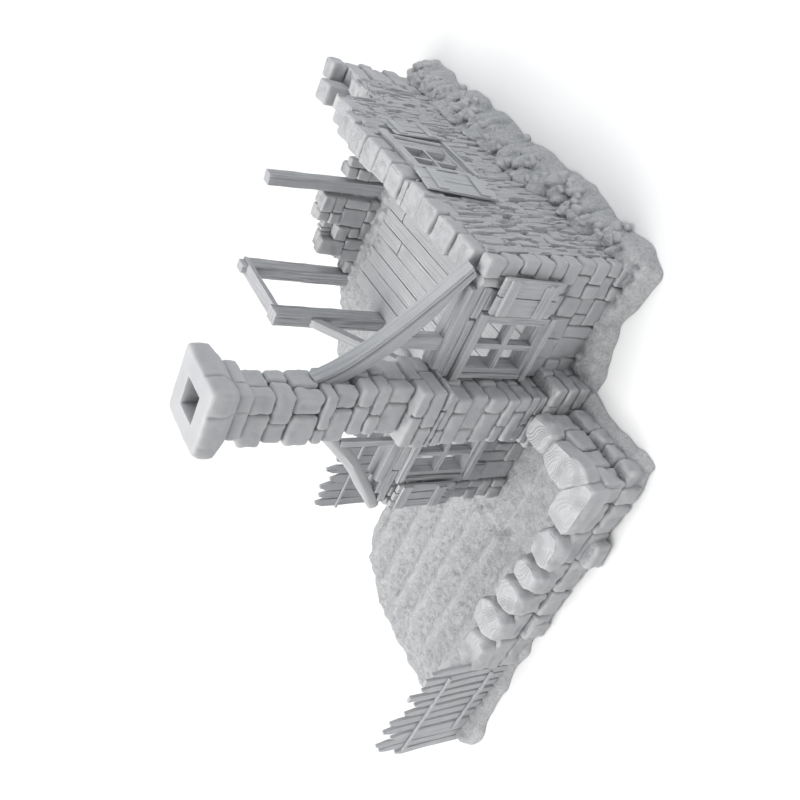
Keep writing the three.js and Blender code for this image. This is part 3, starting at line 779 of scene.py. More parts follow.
def gable():
    pick = np.random.default_rng(31)
    depth = span("gable_wall_right")[1][Y]
    for cad, window in (("gable_wall_right", "window_frame_right"), ("gable_wall_left", "window_frame_left")):
        low, high = span(cad)
        w_low, w_high = span(window)

        def keep(u, z):
            return not (w_low[X] - 0.6 < u < w_high[X] + 0.6 and w_low[Z] - 0.2 < z < w_high[Z] + 0.2)

        shapes = []
        for side, (face, back) in enumerate(((low[Y], low[Y] + depth * 0.5), (high[Y], high[Y] - depth * 0.5))):
            zones = [((low[X], high[X]), (low[Z], w_low[Z] - 0.1))]
            if cad == "gable_wall_right":
                zones.append(((w_high[X] + 0.3, high[X]), (w_low[Z] - 0.1, high[Z])))
            else:
                zones.append(((low[X], w_low[X] - 0.3), (w_low[Z] - 0.1, high[Z])))
            for u_range, z_range in zones:
                for k, (u0, u1, v0, v1) in enumerate(wall_stones(u_range, z_range, (6.2, 5.4), pick)):
                    out = pick.uniform(-0.5, 0.4)
                    y = sorted((face - out if side == 0 else face + out, back))
                    shapes.append(stone((u0 + 0.2, y[0], v0 + 0.15), (u1 - 0.2, y[1], v1 - 0.15), 3000 + side * 400 + k + int(u0) * 9, 0.6, 0.22))
        shapes.append(filler((low[X], low[Y] + 0.9, low[Z]), (high[X], high[Y] - 0.9, w_low[Z] - 0.2)))
        column = (w_high[X] + 0.3, high[X]) if cad == "gable_wall_right" else (low[X], w_low[X] - 0.3)
        shapes.append(filler((column[0], low[Y] + 0.9, w_low[Z] - 0.4), (column[1], high[Y] - 0.9, high[Z])))
        mesh_piece(cad.replace("gable_wall", "gable_stones"), [cad], "stone", shapes)
    casement("casement_right", "window_frame_right", 0)
    casement("casement_left", "window_frame_left", 0)
    for side in ("right", "left"):
        low, high = span(f"gable_boards_{side}")
        middle = low[Z] + 0.5 * (high[Z] - low[Z])
        seed = 1500 if side == "right" else 1600
        joint = low[X] + (0.66 if side == "right" else 0.42) * (high[X] - low[X])
        face = low[Y] - 0.1
        upper = low[X] + (0 if side == "right" else 3.4)
        boards = [
            plank((low[X], face, low[Z] + 0.1), (joint - 0.1, high[Y], middle + 0.1), X, seed, ragged=(0, 0.3)),
            plank((joint + 0.1, face - 0.2, low[Z] - 0.2), (high[X] + 0.4, high[Y], middle), X, seed + 3, ragged=(0.5, 0.2)),
            plank((upper, face + 0.1, middle), (high[X] + (2.6 if side == "right" else 0.4), high[Y], high[Z]), X, seed + 1),
        ]
        mesh_piece(f"boards_{side}", [f"gable_boards_{side}"], "wood", boards)
        low, high = span(f"gable_plate_{side}")
        plate = plank((low[X], low[Y] + 0.55, low[Z] - 0.2), high, X, seed + 2, ragged=(0.5, 0.5), centre_groove=0.15)
        mesh_piece(f"wall_plate_{side}", [f"gable_plate_{side}"], "wood", [plate])
    low, high = span("corner_post")
    middle = (low + high) / 2
    stub = tube([(middle[X], middle[Y], z) for z in np.linspace(low[Z], high[Z], 4)], [(high[X] - low[X]) / 2] * 4, 77, 18, 0.12)
    mesh_piece("round_post", ["corner_post"], "wood", [stub], 60)


gable()


def quoins():
    """Corner columns: squared blocks whose joints alternate from course to course."""
    pick = np.random.default_rng(41)
    low, high = span("quoin_right")
    lintel = span("window_frame_right")[1][Z]
    step = 81.2
    edges = np.array([2.0, 7.2, 11.8, 17.0, 22.4, 27.4, 31.8, 37.0, 42.6, 48.0])
    shapes = []
    for i, (z0, z1) in enumerate(zip(edges[:-1], edges[1:])):
        right = outer_face((z0 + z1) / 2) + (0.35 if i % 2 else 0.05)
        front = low[Y] + (0.35 if i % 2 else 0.0)
        slim = i > 3
        split = step + (1.3 if i % 2 else 0.2) if slim else low[X] + (right - low[X]) * (0.62 if i % 2 else 0.4)
        for k, (a, b) in enumerate(((low[X], split), (split, right))):
            out = pick.uniform(-0.3, 0.3) - (1.3 if slim and k == 0 else 0.0)
            near = (a + 0.12, front - out, z0 + 0.12)
            far = (b - 0.12, high[Y] + 0.2 - 0.5 * (i % 2), z1 - 0.12)
            shapes.append(stone(near, far, 4100 + 10 * i + k, 0.8, 0.22, 1.6, 0.8))
    shapes.append(stone((step - 0.6, low[Y], lintel + 0.2), (86.1, high[Y], high[Z]), 4199, 1.2, 0.2, 1, 0.8))
    shapes.append(filler((low[X] + 0.8, low[Y] + 1.6, low[Z]), (84.6, high[Y] - 0.2, lintel)))
    mesh_piece("corner_stones_right", ["quoin_right"], "stone", shapes)
    low, high = span("quoin_left")
    edges = courses(low[Z], high[Z], 5.3, pick)
    shapes = []
    for i, (z0, z1) in enumerate(zip(edges[:-1], edges[1:])):
        left = low[X] + (0.7 if i % 2 else 0.0)
        out = pick.uniform(-0.3, 0.4)
        if i % 3 == 1:
            parts = ((left, high[X]),)
        else:
            split = left + (high[X] - left) * pick.uniform(0.35, 0.65)
            parts = ((left, split), (split, high[X]))
        for k, (a, b) in enumerate(parts):
            near = (a + 0.1, low[Y] + 0.4 - out, z0 + 0.12)
            shapes.append(stone(near, (b - 0.1, high[Y], z1 - 0.12), 4300 + 10 * i + k, 0.9, 0.26, 2))
    shapes.append(filler((low[X] + 1, low[Y] + 1.5, low[Z]), (high[X] - 0.6, high[Y] - 0.6, high[Z] - 1)))
    mesh_piece("corner_stones_left", ["quoin_left"], "stone", shapes)


quoins()


# ---- chimney ----


def shaft(name, cad, edges, seed, proud=0.5, hollow=None):
    """A stretch of chimney shaft in courses of four blocks, left open round a flue when hollow is given."""
    low, high = span(cad)
    pick = np.random.default_rng(seed)
    shapes = []
    for i, (z0, z1) in enumerate(zip(edges[:-1], edges[1:])):
        shift = pick.uniform(-0.3, 0.3, 2)
        plan = ((low[X] + 0.2 + shift[0], low[Y] + 0.2 + shift[1]), (high[X] - 0.2 + shift[0], high[Y] - 0.2 + shift[1]))
        shapes += shaft_course(plan, z0, z1, i % 2 == 0, seed + i, proud, min(1.1, 0.3 * (z1 - z0)))
    if hollow is None:
        shapes.append(filler((low[X] + 1.3, low[Y] + 1.3, edges[0]), (high[X] - 1.3, high[Y] - 1.3, edges[-1] - 0.5)))
    else:
        for shape in shapes:
            off = np.maximum(np.abs(shape.verts[:, 0] - hollow[0]), np.abs(shape.verts[:, 1] - hollow[1]))
            clear = off > FLUE_HALF + 0.1
            shape.quads = shape.quads[clear[shape.quads].all(axis=1)]
    mesh_piece(name, [cad], "stone", shapes)


FLUE_HALF = 3.85


def square_loop(centre, half, corner, z, count=40):
    """A square with rounded corners, as a loop of points."""
    side = np.linspace(-1, 1, count, endpoint=False)
    one = np.ones(count)
    p = np.concatenate([np.column_stack(v) for v in ((side, -one), (one, side), (-side, one), (-one, -side))]) * half
    inner = np.clip(p, corner - half, half - corner)
    away = p - inner
    length = np.linalg.norm(away, axis=1)
    away /= np.maximum(length, 1e-9)[:, None]
    return np.column_stack([centre[0] + (inner + away * np.minimum(length, corner)[:, None])[:, 0],
                            centre[1] + (inner + away * np.minimum(length, corner)[:, None])[:, 1], np.full(len(p), z)])


def chimney():
    low, high = span("chimney_plinth")
    shaft("hearth_plinth", "chimney_plinth", np.array([low[Z], 6.6, 11.2, high[Z] + 0.8]), 5100, 0.3)
    shaft("hearth_breast", "chimney_breast", np.array([15.8, 18.6, 21.8, 26.6, 30.6, 37.4, 43.0, 48.4, 51.2]), 5200, 0.45)
    shaft("hearth_shoulder", "chimney_shoulder", np.array([51.2, 53.0, 58.0, 62.1]), 5300, 0.35)
    shaft("stack_lower", "chimney_stack_lower", np.array([62.1, 69.4, 73.6, 78.0]), 5400, 0.3)
    low, high = span("chimney_cap")
    centre = (low + high) / 2
    edges = np.array([78.0, 84.2, 87.6, 95.2, 100.8, 107.2])
    shaft("stack_upper", "chimney_stack_upper", edges, 5510, 0.5, centre)
    base, half = 107.2, (high[X] - low[X]) / 2
    levels = [
        (5.0, 0.5, base, 0), (6.4, 1.0, base, 0), (6.95, 1.2, base + 0.5, 1), (7.1, 1.2, base + 1.8, 1),
        (7.05, 1.2, base + 2.9, 1), (6.75, 1.0, base + 3.5, 0), (6.95, 1.1, base + 3.8, 0),
    ]
    levels += [(7.1 + (half - 7.1) * f ** 0.85, 1.2, base + 3.9 + 3.0 * f, 1) for f in np.linspace(0.1, 1, 8)]
    levels += [(half + 0.2 * math.sin(f * math.pi), 1.3, base + 6.9 + 4.2 * f, 1) for f in np.linspace(0.12, 0.95, 9)]
    levels += [(half - 0.15, 1.3, high[Z] - 0.35, 0.4), (half - 0.5, 1.2, high[Z] - 0.1, 0), (half - 0.9, 1.1, high[Z], 0)]
    levels += [(h, 0.6, high[Z], 0) for h in np.linspace(half - 1.6, FLUE_HALF + 0.5, 8)]
    levels += [(FLUE_HALF + 0.18, 0.2, high[Z] - 0.05, 0), (FLUE_HALF, 0.15, high[Z] - 0.35, 0)]
    levels += [(FLUE_HALF - 0.1, 0.15, z, 0) for z in np.linspace(high[Z] - 1.5, 86.0, 14)]
    levels += [(2.0, 0.1, 85.9, 0), (0.02, 0.005, 85.8, 0)]
    rings = []
    turned = len(square_loop(centre, 1, 0.1, 0)) // 4
    for reach, corner, z, seams in levels:
        ring = square_loop(centre, reach, corner, z)
        u = np.arange(len(ring)) / turned
        for at, width in ((0.64, 0.016), (1.34, 0.016), (2.3, 0.016), (2.8, 0.016), (3.5, 0.016)):
            dip = 0.6 * seams * np.exp(-(((u - at) / width) ** 2))
            ring[:, :2] -= (ring[:, :2] - centre[:2]) / reach * dip[:, None]
        outer = z > base + 0.4 and reach > FLUE_HALF + 0.3
        if outer:
            away = (ring[:, :2] - centre[:2]) / reach
            bulge = 0.2 * rugged(ring, 3.2, 561) + 0.05 * noise(ring, 0.8, 562)
            ring[:, :2] += away * (bulge * (1.0 if z < high[Z] - 0.02 else 0.0))[:, None]
            ring[:, 2] += 0.12 * rugged(ring, 6.0, 563) if z > high[Z] - 0.02 else 0.0
        rings.append(ring)
    mesh_piece("cap_stones", ["chimney_cap"], "stone", [loft(rings)], 50)


chimney()


# ---- roof timbers ----


def sagged(timber, start, end, sag, taper, belly):
    """Bends a straight timber down between its ends, narrows it to its foot and thickens its middle below."""
    along = (end - start) / np.linalg.norm(end - start)
    down = np.array([along[Z], 0, -along[X]])
    share = np.clip((timber.verts - start) @ along / np.linalg.norm(end - start), 0, 1)
    side = (timber.verts - start) @ down
    shift = sag * np.sin(math.pi * share ** 0.7) - taper * share * side
    shift += belly * np.sin(math.pi * share) * np.clip(side / 2.4, 0, 1)
    return Shape(timber.verts + shift[:, None] * down, timber.quads, timber.tris)


RAFTER_DEPTH, RAFTER_SKEW = 3.6, 0.055


def skewed(timber, foot):
    """Brings a timber's top forward of its foot."""
    verts = timber.verts.copy()
    verts[:, Y] += RAFTER_SKEW * (verts[:, X] - foot[X])
    return Shape(verts, timber.quads, timber.tris)


def roof_timbers():
    low, high = span("rafter_right")
    foot = np.array([high[X] - 1.2, high[Y] - RAFTER_DEPTH / 2, low[Z] + 0.4])
    top = foot + (-34.8, 0, 32.5)
    timber = beam(top, foot, 4.8, RAFTER_DEPTH, 61, centre_groove=0.7, groove=0.2)
    mesh_piece("rafter_beam", ["rafter_right"], "wood", [skewed(sagged(timber, top, foot, 2.5, 0.25, 1.5), foot)])
    for side in ("right", "left"):
        low, high = span(f"stud_{side}")
        top = high + np.array([0, 0, 4.0 if side == "right" else 3.0])
        mesh_piece(f"king_{side}", [f"stud_{side}"], "wood", [plank(low, top, Z, 63 + len(side), groove=0.2)])
    low, high = span("rafter_left")
    middle = (low[Y] + high[Y]) / 2
    run = [(0.04, 0.047), (0.235, 0.197), (0.44, 0.361), (0.605, 0.513), (0.764, 0.689), (0.93, 0.853), (1.03, 0.946)]
    size = high - low
    path = [(low[X] + u * size[X], middle, low[Z] + v * size[Z]) for u, v in run]
    mesh_piece("rafter_log", ["rafter_left"], "wood", [tube(path, [1.9, 2.1, 2.1, 2.1, 2.1, 2.1, 2.0], 64)], 60)


roof_timbers()


# ---- shutters ----


def shutter(name, cad, turn, planks, seed, battens=(0.2, 0.76)):
    """Upright planks of uneven length held by two battens."""
    low, high = span(cad)
    along, across = (X, Y) if turn == 0 else (Y, X)
    pick = np.random.default_rng(seed)
    edges = np.linspace(low[along], high[along], planks + 1)
    shapes = []
    back, face = (high[across], low[across]) if turn == 0 else (low[across], high[across])
    out = -1 if turn == 0 else 1

    def part(u0, u1, v0, v1, w0, w1, grain, n, **look):
        lo, hi = np.zeros(3), np.zeros(3)
        lo[along], hi[along], lo[Z], hi[Z] = u0, u1, v0, v1
        lo[across], hi[across] = sorted((w0, w1))
        return plank(lo, hi, grain, n, **look)

    for k, (a, b) in enumerate(zip(edges[:-1], edges[1:])):
        bottom = low[Z] + pick.uniform(0, 2.2)
        top = high[Z] - pick.uniform(0, 0.6)
        shapes.append(part(a + 0.08, b - 0.08, bottom, top, back, face - out * 0.6, Z, seed + k, ragged=(1.8, 0), groove=0.16))
    size = high[Z] - low[Z]
    for k, share in enumerate(battens):
        z = low[Z] + share * size
        ragged = (0, 1.4) if k == 0 else (0, 0.3)
        shapes.append(part(low[along] + 0.2, high[along] - 0.3, z, z + 3.8, back, face, along, seed + 10 + k, ragged=ragged))
    return shapes


def shutters():
    mesh_piece("shutter_right", ["shutter_gable_right"], "wood", shutter("r", "shutter_gable_right", 0, 2, 810))
    mesh_piece("shutter_left", ["shutter_gable_left"], "wood", shutter("l", "shutter_gable_left", 0, 3, 830))
    lean = -math.atan(BATTER)
    foot = WALL_FOOT + BATTER * BATTER_FOOT
    for name, cad, planks, askew, clear, thick, seed in (
        ("shutter_open", "shutter_side_front", 2, -10, 0.8, 1.3, 870),
        ("shutter_rear", "shutter_side_rear", 3, 0, 0.3, 0.8, 850),
    ):
        low, high = span(cad)
        turn = math.radians(askew)
        tall = (high[Z] - low[Z]) - abs(math.sin(turn)) * 7.4
        half = (high[Y] - low[Y] - abs(math.sin(turn)) * 24) / 2
        drops = np.random.default_rng(seed).uniform(0.1, 1.6, planks)
        shapes = []
        for k in range(planks):
            a, b = -half + 2 * half * k / planks + 0.08, -half + 2 * half * (k + 1) / planks - 0.08
            low_end, high_end = -tall / 2 + drops[k], tall / 2 - 0.8 * drops[-1 - k]
            shapes.append(plank((0, a, low_end), (thick * 0.6, b, high_end), Z, seed + k, ragged=(1.8, 0.2), groove=0.16))
        for k, share in enumerate((0.16, 0.72)):
            z = (share - 0.5) * tall
            near, far = (thick * 0.3, -half + 0.4, z), (thick, half - 0.3, z + 3.0)
            shapes.append(plank(near, far, Y, seed + 10 + k, groove=0.12, ragged=(0.2, 0.3)))
        middle = (low + high) / 2
        against = Matrix.Translation((foot + clear, 0, 0)) @ Matrix.Rotation(lean, 4, "Y")
        hung = Matrix.Translation((0, middle[Y], middle[Z] + 0.3)) @ Matrix.Rotation(turn, 4, "X")
        mesh_piece(name, [cad], "wood", [joined(shapes).moved(against @ hung)])


shutters()


# ---- long wall ----


def slate_relief(u, z, cells, seed):
    """How far a flaky masonry face stands out at each point: tilted stones, thin gaps, streaks and gouges."""
    relief = np.full(len(u), -0.35)
    pick = np.random.default_rng(seed)
    for u0, u1, z0, z1 in cells:
        offset, tilt_u, tilt_z = pick.uniform(-0.35, 0.3), pick.uniform(-0.2, 0.2), pick.uniform(-0.06, 0.06)
        sides = pick.random(4) < (0.6, 0.6, 0.35, 0.35)
        mine = np.flatnonzero((u >= u0) & (u < u1) & (z >= z0) & (z < z1))
        a, b = u[mine], z[mine]
        lift = offset + tilt_u * (a - (u0 + u1) / 2) + tilt_z * (b - (z0 + z1) / 2)
        for cut, reach in zip(sides, (a - u0, u1 - a, b - z0, z1 - b)):
            lift -= (1.1 if cut else 0.1) * np.exp(-((reach / 0.26) ** 2))
        relief[mine] = lift
    at = np.column_stack([np.zeros(len(u)), u + 0.5 * noise(np.column_stack([u, u * 0, z]), 5.0, seed + 1), z])
    relief += 0.2 * noise(at, np.array([1, 0.6, 6.0]), seed + 2) + 0.1 * noise(at, np.array([1, 0.35, 2.0]), seed + 3)
    gouge = np.clip(noise(at, np.array([1, 0.9, 4.6]), seed + 4) - 0.42, 0, 0.25) / 0.25
    return relief - 1.3 * gouge


def slate_slab(y_range, z_range, cells, seed):
    """A stretch of the long wall's outer leaf, carved in relief on its outer face."""
    fine = 0.3 * COARSE
    lines = [np.array([WALL_INNER + 3.6, 82.0])]
    lines += [np.linspace(a, b, max(2, int((b - a) / fine))) for a, b in (y_range, z_range)]
    verts, quads = box_grid(lines)
    face = verts[:, X] > WALL_INNER + 3.8
    lean = WALL_FOOT - BATTER * np.maximum(0.0, verts[face, Z] - BATTER_FOOT)
    verts[face, X] = lean + slate_relief(verts[face, Y], verts[face, Z], cells, seed)
    return Shape(verts, quads)


def long_wall():
    pick = np.random.default_rng(71)
    w_low, w_high = span("window_frame_side")
    for cad, name, top_drop in (("long_wall", "long_wall_stones", 0.0), ("long_wall_rear", "long_wall_end", 3.0)):
        low, high = span(cad)
        whole = cad == "long_wall"

        def keep(u, z, whole=whole, high=high, low=low, top_drop=top_drop):
            if whole and w_low[Y] - 0.5 < u < w_high[Y] + 0.5 and w_low[Z] - 0.5 < z < w_high[Z] + 1.5:
                return False
            return z < high[Z] - top_drop * (u - low[Y]) / (high[Y] - low[Y]) * 1.5

        cells = wall_stones((low[Y] - 1, high[Y] + 1), (low[Z], high[Z] + 3), (3.6, 5.4), pick, None, 0.4)
        shapes = []
        if whole:
            areas = (
                ((low[Y], w_low[Y] + 0.3), (low[Z], high[Z] + 1)),
                ((w_high[Y] - 0.3, high[Y]), (low[Z], high[Z] + 1)),
                ((w_low[Y] + 0.3, w_high[Y] - 0.3), (low[Z], w_low[Z] + 0.3)),
            )
        else:
            areas = (((low[Y], high[Y]), (low[Z], high[Z] - 5)),)
            for k, (u0, u1, v0, v1) in enumerate(wall_stones((low[Y], high[Y]), (high[Z] - 5, high[Z]), (4.6, 2.6), pick, keep)):
                face = outer_face((v0 + v1) / 2) + pick.uniform(-0.6, 0.3)
                near = (WALL_INNER + 4.0, u0 + 0.1, v0 + 0.1)
                shapes.append(stone(near, (face, u1 - 0.1, v1 - 0.1), 7100 + k, 0.5, 0.26, 2.0, 0.8, 0.3))
        shapes += [slate_slab(y_range, z_range, cells, 720 + len(name)) for y_range, z_range in areas]
        for k, (u0, u1, v0, v1) in enumerate(wall_stones((low[Y], high[Y]), (low[Z], high[Z]), (6.5, 5.0), pick, keep, 0.15)):
            face = WALL_INNER - pick.uniform(-0.5, 0.3)
            near = (face, u0 + 0.1, v0 + 0.1)
            shapes.append(stone(near, (WALL_INNER + 4.2, u1 - 0.1, v1 - 0.1), 7700 + k, 0.6, 0.22, 1.2, 1.2))
        mesh_piece(name, [cad], "stone", shapes, 45)
    casement("casement_side", "window_frame_side", 1, (1.7, 6.0), 1.2, 1.8)


long_wall()


def coping():
    """Flat stones, wide and narrow in turn, along the top of the long wall; they fall towards the broken end."""
    pick = np.random.default_rng(72)
    for cad, start in (("coping_front", 0), ("coping_rear", 1)):
        low, high = span(cad)
        widths = np.array([7.4, 7.0, 2.6, 7.6, 7.2, 2.4, 7.4])
        widths = np.roll(widths, start) * pick.uniform(0.93, 1.07, len(widths))
        edges = low[Y] + np.concatenate([[0], np.cumsum(widths)]) / widths.sum() * (high[Y] - low[Y])
        shapes = []
        for k, (y0, y1) in enumerate(zip(edges[:-1], edges[1:])):
            share = np.clip((y0 + y1) / 2 - 73, 0, 22) / 22
            narrow = y1 - y0 < 4
            top = 56.4 - 5.6 * share + pick.uniform(-0.35, 0.35) - (0.7 if narrow else 0.0)
            x1 = outer_face(top) + pick.uniform(-0.2, 0.7) - (0.8 if narrow else 0.0)
            x0 = WALL_INNER + pick.uniform(-0.3, 0.4)
            near = (x0, y0 + 0.16, low[Z] - 2.6 - 3.0 * share)
            shapes.append(stone(near, (x1, y1 - 0.16, top), 7900 + k + int(low[Y]), 1.0, 0.2, 2.0, 0.6))
        mesh_piece(cad.replace("coping", "coping_stones"), [cad], "stone", shapes)


coping()


# ---- rear ----


def rear():
    pick = np.random.default_rng(81)
    profiles = {
        "rear_wall_left": [(8.6, 5.5), (15.2, 12.7), (16.4, 15.4), (20.8, 23.4), (30.0, 24.2), (31.4, 26.5), (38.0, 28.1), (41.2, 25.8)],
        "rear_wall_right": [(49.0, 26.9), (54.8, 23.1), (56.2, 12.5), (66.0, 8.0), (78.0, 9.0)],
    }
    for cad, tops in profiles.items():
        low, high = span(cad)
        xs, zs = zip(*tops)

        def keep(u, z):
            return z < np.interp(u, xs, zs) - 0.6

        shapes = []
        for side in (0, 1):
            for k, (u0, u1, v0, v1) in enumerate(wall_stones((low[X], high[X]), (low[Z], high[Z] + 1.6), (5.6, 5.2), pick, keep, 0.25)):
                middle = (low[Y] + high[Y]) / 2
                y = (low[Y] + pick.uniform(-0.5, 0.4), middle + 0.3) if side == 0 else (middle - 0.3, high[Y] + pick.uniform(-0.4, 0.5))
                shapes.append(stone((u0 + 0.12, y[0], v0 + 0.1), (u1 - 0.12, y[1], v1 - 0.1), 8100 + side * 300 + k, 0.8, 0.28, 2.5))
        mesh_piece(cad.replace("wall", "stones"), [cad], "stone", shapes)
    low, high = span("rear_post")
    lean = [(high[X] - 2.4, (low[Y] + high[Y]) / 2, low[Z]), (low[X] + 2.4, (low[Y] + high[Y]) / 2, high[Z])]
    mesh_piece("leaning_post", ["rear_post"], "wood", [beam(lean[0], lean[1], 4.6, 4.5, 91, groove=0.22)])
    low, high = span("corner_pier")
    edges = courses(low[Z], high[Z], 5.6, pick)
    shapes = []
    for i, (z0, z1) in enumerate(zip(edges[:-1], edges[1:])):
        shrink = 0.6 if i % 2 else 0.0
        lean_in = 0.6 * i / len(edges)
        shapes.append(stone((low[X] + shrink * 0.5, low[Y], z0 + 0.1), (high[X] - shrink - lean_in, high[Y] - shrink, z1 - 0.1), 8300 + i, 0.9, 0.25, 1.5))
    shapes.append(stone((low[X] - 4.0, low[Y] + 0.5, high[Z] - 1.6), (low[X] + 3.5, high[Y] - 4.5, high[Z] + 0.2), 8320, 0.7, 0.2, 1.5))
    mesh_piece("pier_stones", ["corner_pier"], "stone", shapes)
    for k, cad in enumerate(("pier_block_front", "pier_block_rear")):
        low, high = span(cad)
        mesh_piece(cad.replace("pier_block", "pier_top"), [cad], "stone", [stone(low, high, 8340 + k, 1.1, 0.26, 3.0, 0.8)])


rear()


# ---- door ----


def door():
    low, high = span("door_post_front")
    shapes = [plank(low, high + np.array([0, 0, 3.6]), Z, 9401, groove=0.3, pitch=0.5, radius=0.4, ragged=(0, 0.5))]
    mesh_piece("door_post_one", ["door_post_front"], "wood", shapes)
    low, high = span("door_post_rear")
    lintel_low, lintel_high = span("door_lintel")
    shapes = [
        plank(low, (high[X], high[Y], lintel_low[Z]), Z, 9402, groove=0.3, pitch=0.5, radius=0.4),
        plank((low[X] + 1.2, low[Y] + 1.0, lintel_low[Z] - 1), (high[X] - 0.5, high[Y] - 0.6, high[Z]), Z, 9403, groove=0.2),
    ]
    mesh_piece("door_post_two", ["door_post_rear"], "wood", shapes)
    low, high = lintel_low, lintel_high
    shapes = [plank((low[X] + 0.2, low[Y] + 6.0, low[Z]), (high[X] - 0.2, high[Y], high[Z] + 0.2), Y, 9404, groove=0.2, ragged=(0.5, 0.6))]
    mesh_piece("door_head", ["door_lintel"], "wood", shapes)
    low, high = span("door_brace")
    middle = (low[X] + high[X]) / 2
    shapes = [beam((middle, low[Y] + 1.2, low[Z]), (middle, high[Y] + 0.8, high[Z] - 1.0), 3.4, 3.2, 9405, facing=(1, 0, 0), groove=0.2)]
    mesh_piece("brace", ["door_brace"], "wood", shapes)


door()


# ---- garden wall ----


def garden_wall():
    pick = np.random.default_rng(95)
    low, high = span("garden_wall_front")
    shapes = []
    for side in (0, 1):
        for k, (u0, u1, v0, v1) in enumerate(wall_stones((low[X], high[X]), (0.4, high[Z]), (11.0, 7.2), pick, None, 0.1)):
            middle = (low[Y] + high[Y]) / 2
            out = pick.uniform(-0.6, 0.7) + (0.9 if v0 < 2 else 0)
            y = (low[Y] - out, middle + 0.4) if side == 0 else (middle - 0.4, high[Y] + out * 0.5)
            if side == 1 and v0 < 2:
                v0 = 1.6
            shapes.append(stone((u0 + 0.1, y[0], v0 + 0.05), (u1 - 0.1, y[1], v1 - 0.05), 9600 + side * 200 + k, 1.1, 0.42, 2.5, 1.0))
    for k, (x0, x1, y, top) in enumerate(((13.4, 22.8, -43.4, 6.6), (-20.4, -13.4, -41.6, 7.4))):
        shapes.append(stone((x0, y, 0.1), (x1, low[Y] + 2, top), 9850 + k, 1.3, 0.4, 2.0, 0.8))
    mesh_piece("garden_stones_front", ["garden_wall_front"], "stone", shapes)
    low, high = span("garden_wall_side")
    shapes = []
    for side in (0, 1):
        for k, (u0, u1, v0, v1) in enumerate(wall_stones((low[Y] - 8, high[Y]), (0.4, high[Z]), (9.6, 7.2), pick, None, 0.1)):
            middle = (low[X] + 44) / 2
            out = 43.6 + 3.6 * (1 - v0 / 15) ** 1.5 + pick.uniform(-0.5, 0.4)
            x = (out, middle - 0.4) if side == 0 else (low[X] - pick.uniform(-0.4, 0.5), middle + 0.4)
            if side == 1 and u0 < low[Y]:
                continue
            x = sorted(x)
            shapes.append(stone((x[0], u0 + 0.1, v0 + 0.05), (x[1], u1 - 0.1, v1 - 0.05), 9900 + side * 200 + k, 1.1, 0.42, 2.5, 1.0))
    mesh_piece("garden_stones_side", ["garden_wall_side"], "stone", shapes)
    outlines = [
        [(0, 0.3), (0.12, 0), (0.8, 0.05), (1, 0.4), (0.92, 0.9), (0.3, 1), (0.02, 0.8)],
        [(0, 0.35), (0.2, 0.02), (0.78, 0), (1, 0.3), (0.96, 0.72), (0.68, 1), (0.16, 0.94)],
        [(0, 0.3), (0.3, 0), (0.85, 0.08), (1, 0.5), (0.82, 1), (0.25, 0.98), (0.03, 0.7)],
        [(0, 0.28), (0.25, 0), (0.8, 0.02), (1, 0.34), (0.94, 0.86), (0.55, 1), (0.08, 0.86)],
        [(0, 0.32), (0.14, 0.02), (0.74, 0), (1, 0.26), (0.98, 0.7), (0.66, 1), (0.12, 0.88)],
        [(0, 0.2), (0.15, 0), (1, 0), (1, 0.4), (0.55, 1), (0.08, 1)],
        [(0.02, 0.36), (0.8, 0), (1, 0.26), (0.86, 0.96), (0.24, 1), (0, 0.68)],
        [(0, 0.3), (0.2, 0), (0.86, 0.02), (1, 0.42), (0.9, 0.92), (0.4, 1), (0.04, 0.86)],
    ]
    sinks = (0.6, 0.0, 0.3, 0.4, 0.2, 1.6, 0.2, 0.0)
    for k, (corners, sink) in enumerate(zip(outlines, sinks)):
        cad = f"capstone_{k + 1}"
        low, high = span(cad)
        inset, spread = (0.35, 0.7) if 4 < k < 7 else (0.9, 0.5)
        ring = low[:2] - spread + np.array(corners) * (high[:2] - low[:2] + 2 * spread)
        boulder = cobble(ring, low[Z] - 0.3 - sink, high[Z] + 0.1, 9950 + k * 5, inset)
        mesh_piece(f"cap_{k + 1}", [cad], "stone", [boulder], 50)


garden_wall()


# ---- picket fences ----


def picket(foot, tip, low, high, width, face, depth, seed, flat_top=False):
    """One pointed board; it leans from its foot to its tip."""
    board = plank((-width / 2, 0, 0), (width / 2, depth, high - low), Z, seed, 0.25, 0.12, 0.6, (0, 0), 0.4)
    v = board.verts
    if not flat_top:
        peak = high - low
        over = np.clip((v[:, Z] - (peak - 3.4)) / 3.4, 0, 1)
        v[:, X] *= 1 - 0.78 * over
    share = np.clip(v[:, Z] / (high - low), 0, 1)
    v[:, X] += foot + (tip - foot) * share
    v[:, Y] += face
    v[:, Z] += low
    v[:, Y] += 0.25 * noise(v, 14.0, seed + 2)
    return board


def fence(name, cad, tips, feet, face, rails, seed, width):
    low, high = span(cad)
    pick = np.random.default_rng(seed)
    shapes = []
    for k, ((tip, top), foot) in enumerate(zip(tips, feet)):
        shapes.append(picket(foot, tip, GROUND - 0.6, top, pick.uniform(*width), face + pick.uniform(-0.15, 0.15), 1.3, seed + k * 3, pick.random() < 0.15))
    for k, (x0, x1, z) in enumerate(rails):
        shapes.append(plank((x0, face - 0.8, z), (x1, face + 0.2, z + 1.1), X, seed + 90 + k, 0.25, 0.1, 0.5))
    mesh_piece(name, [cad], "wood", shapes)


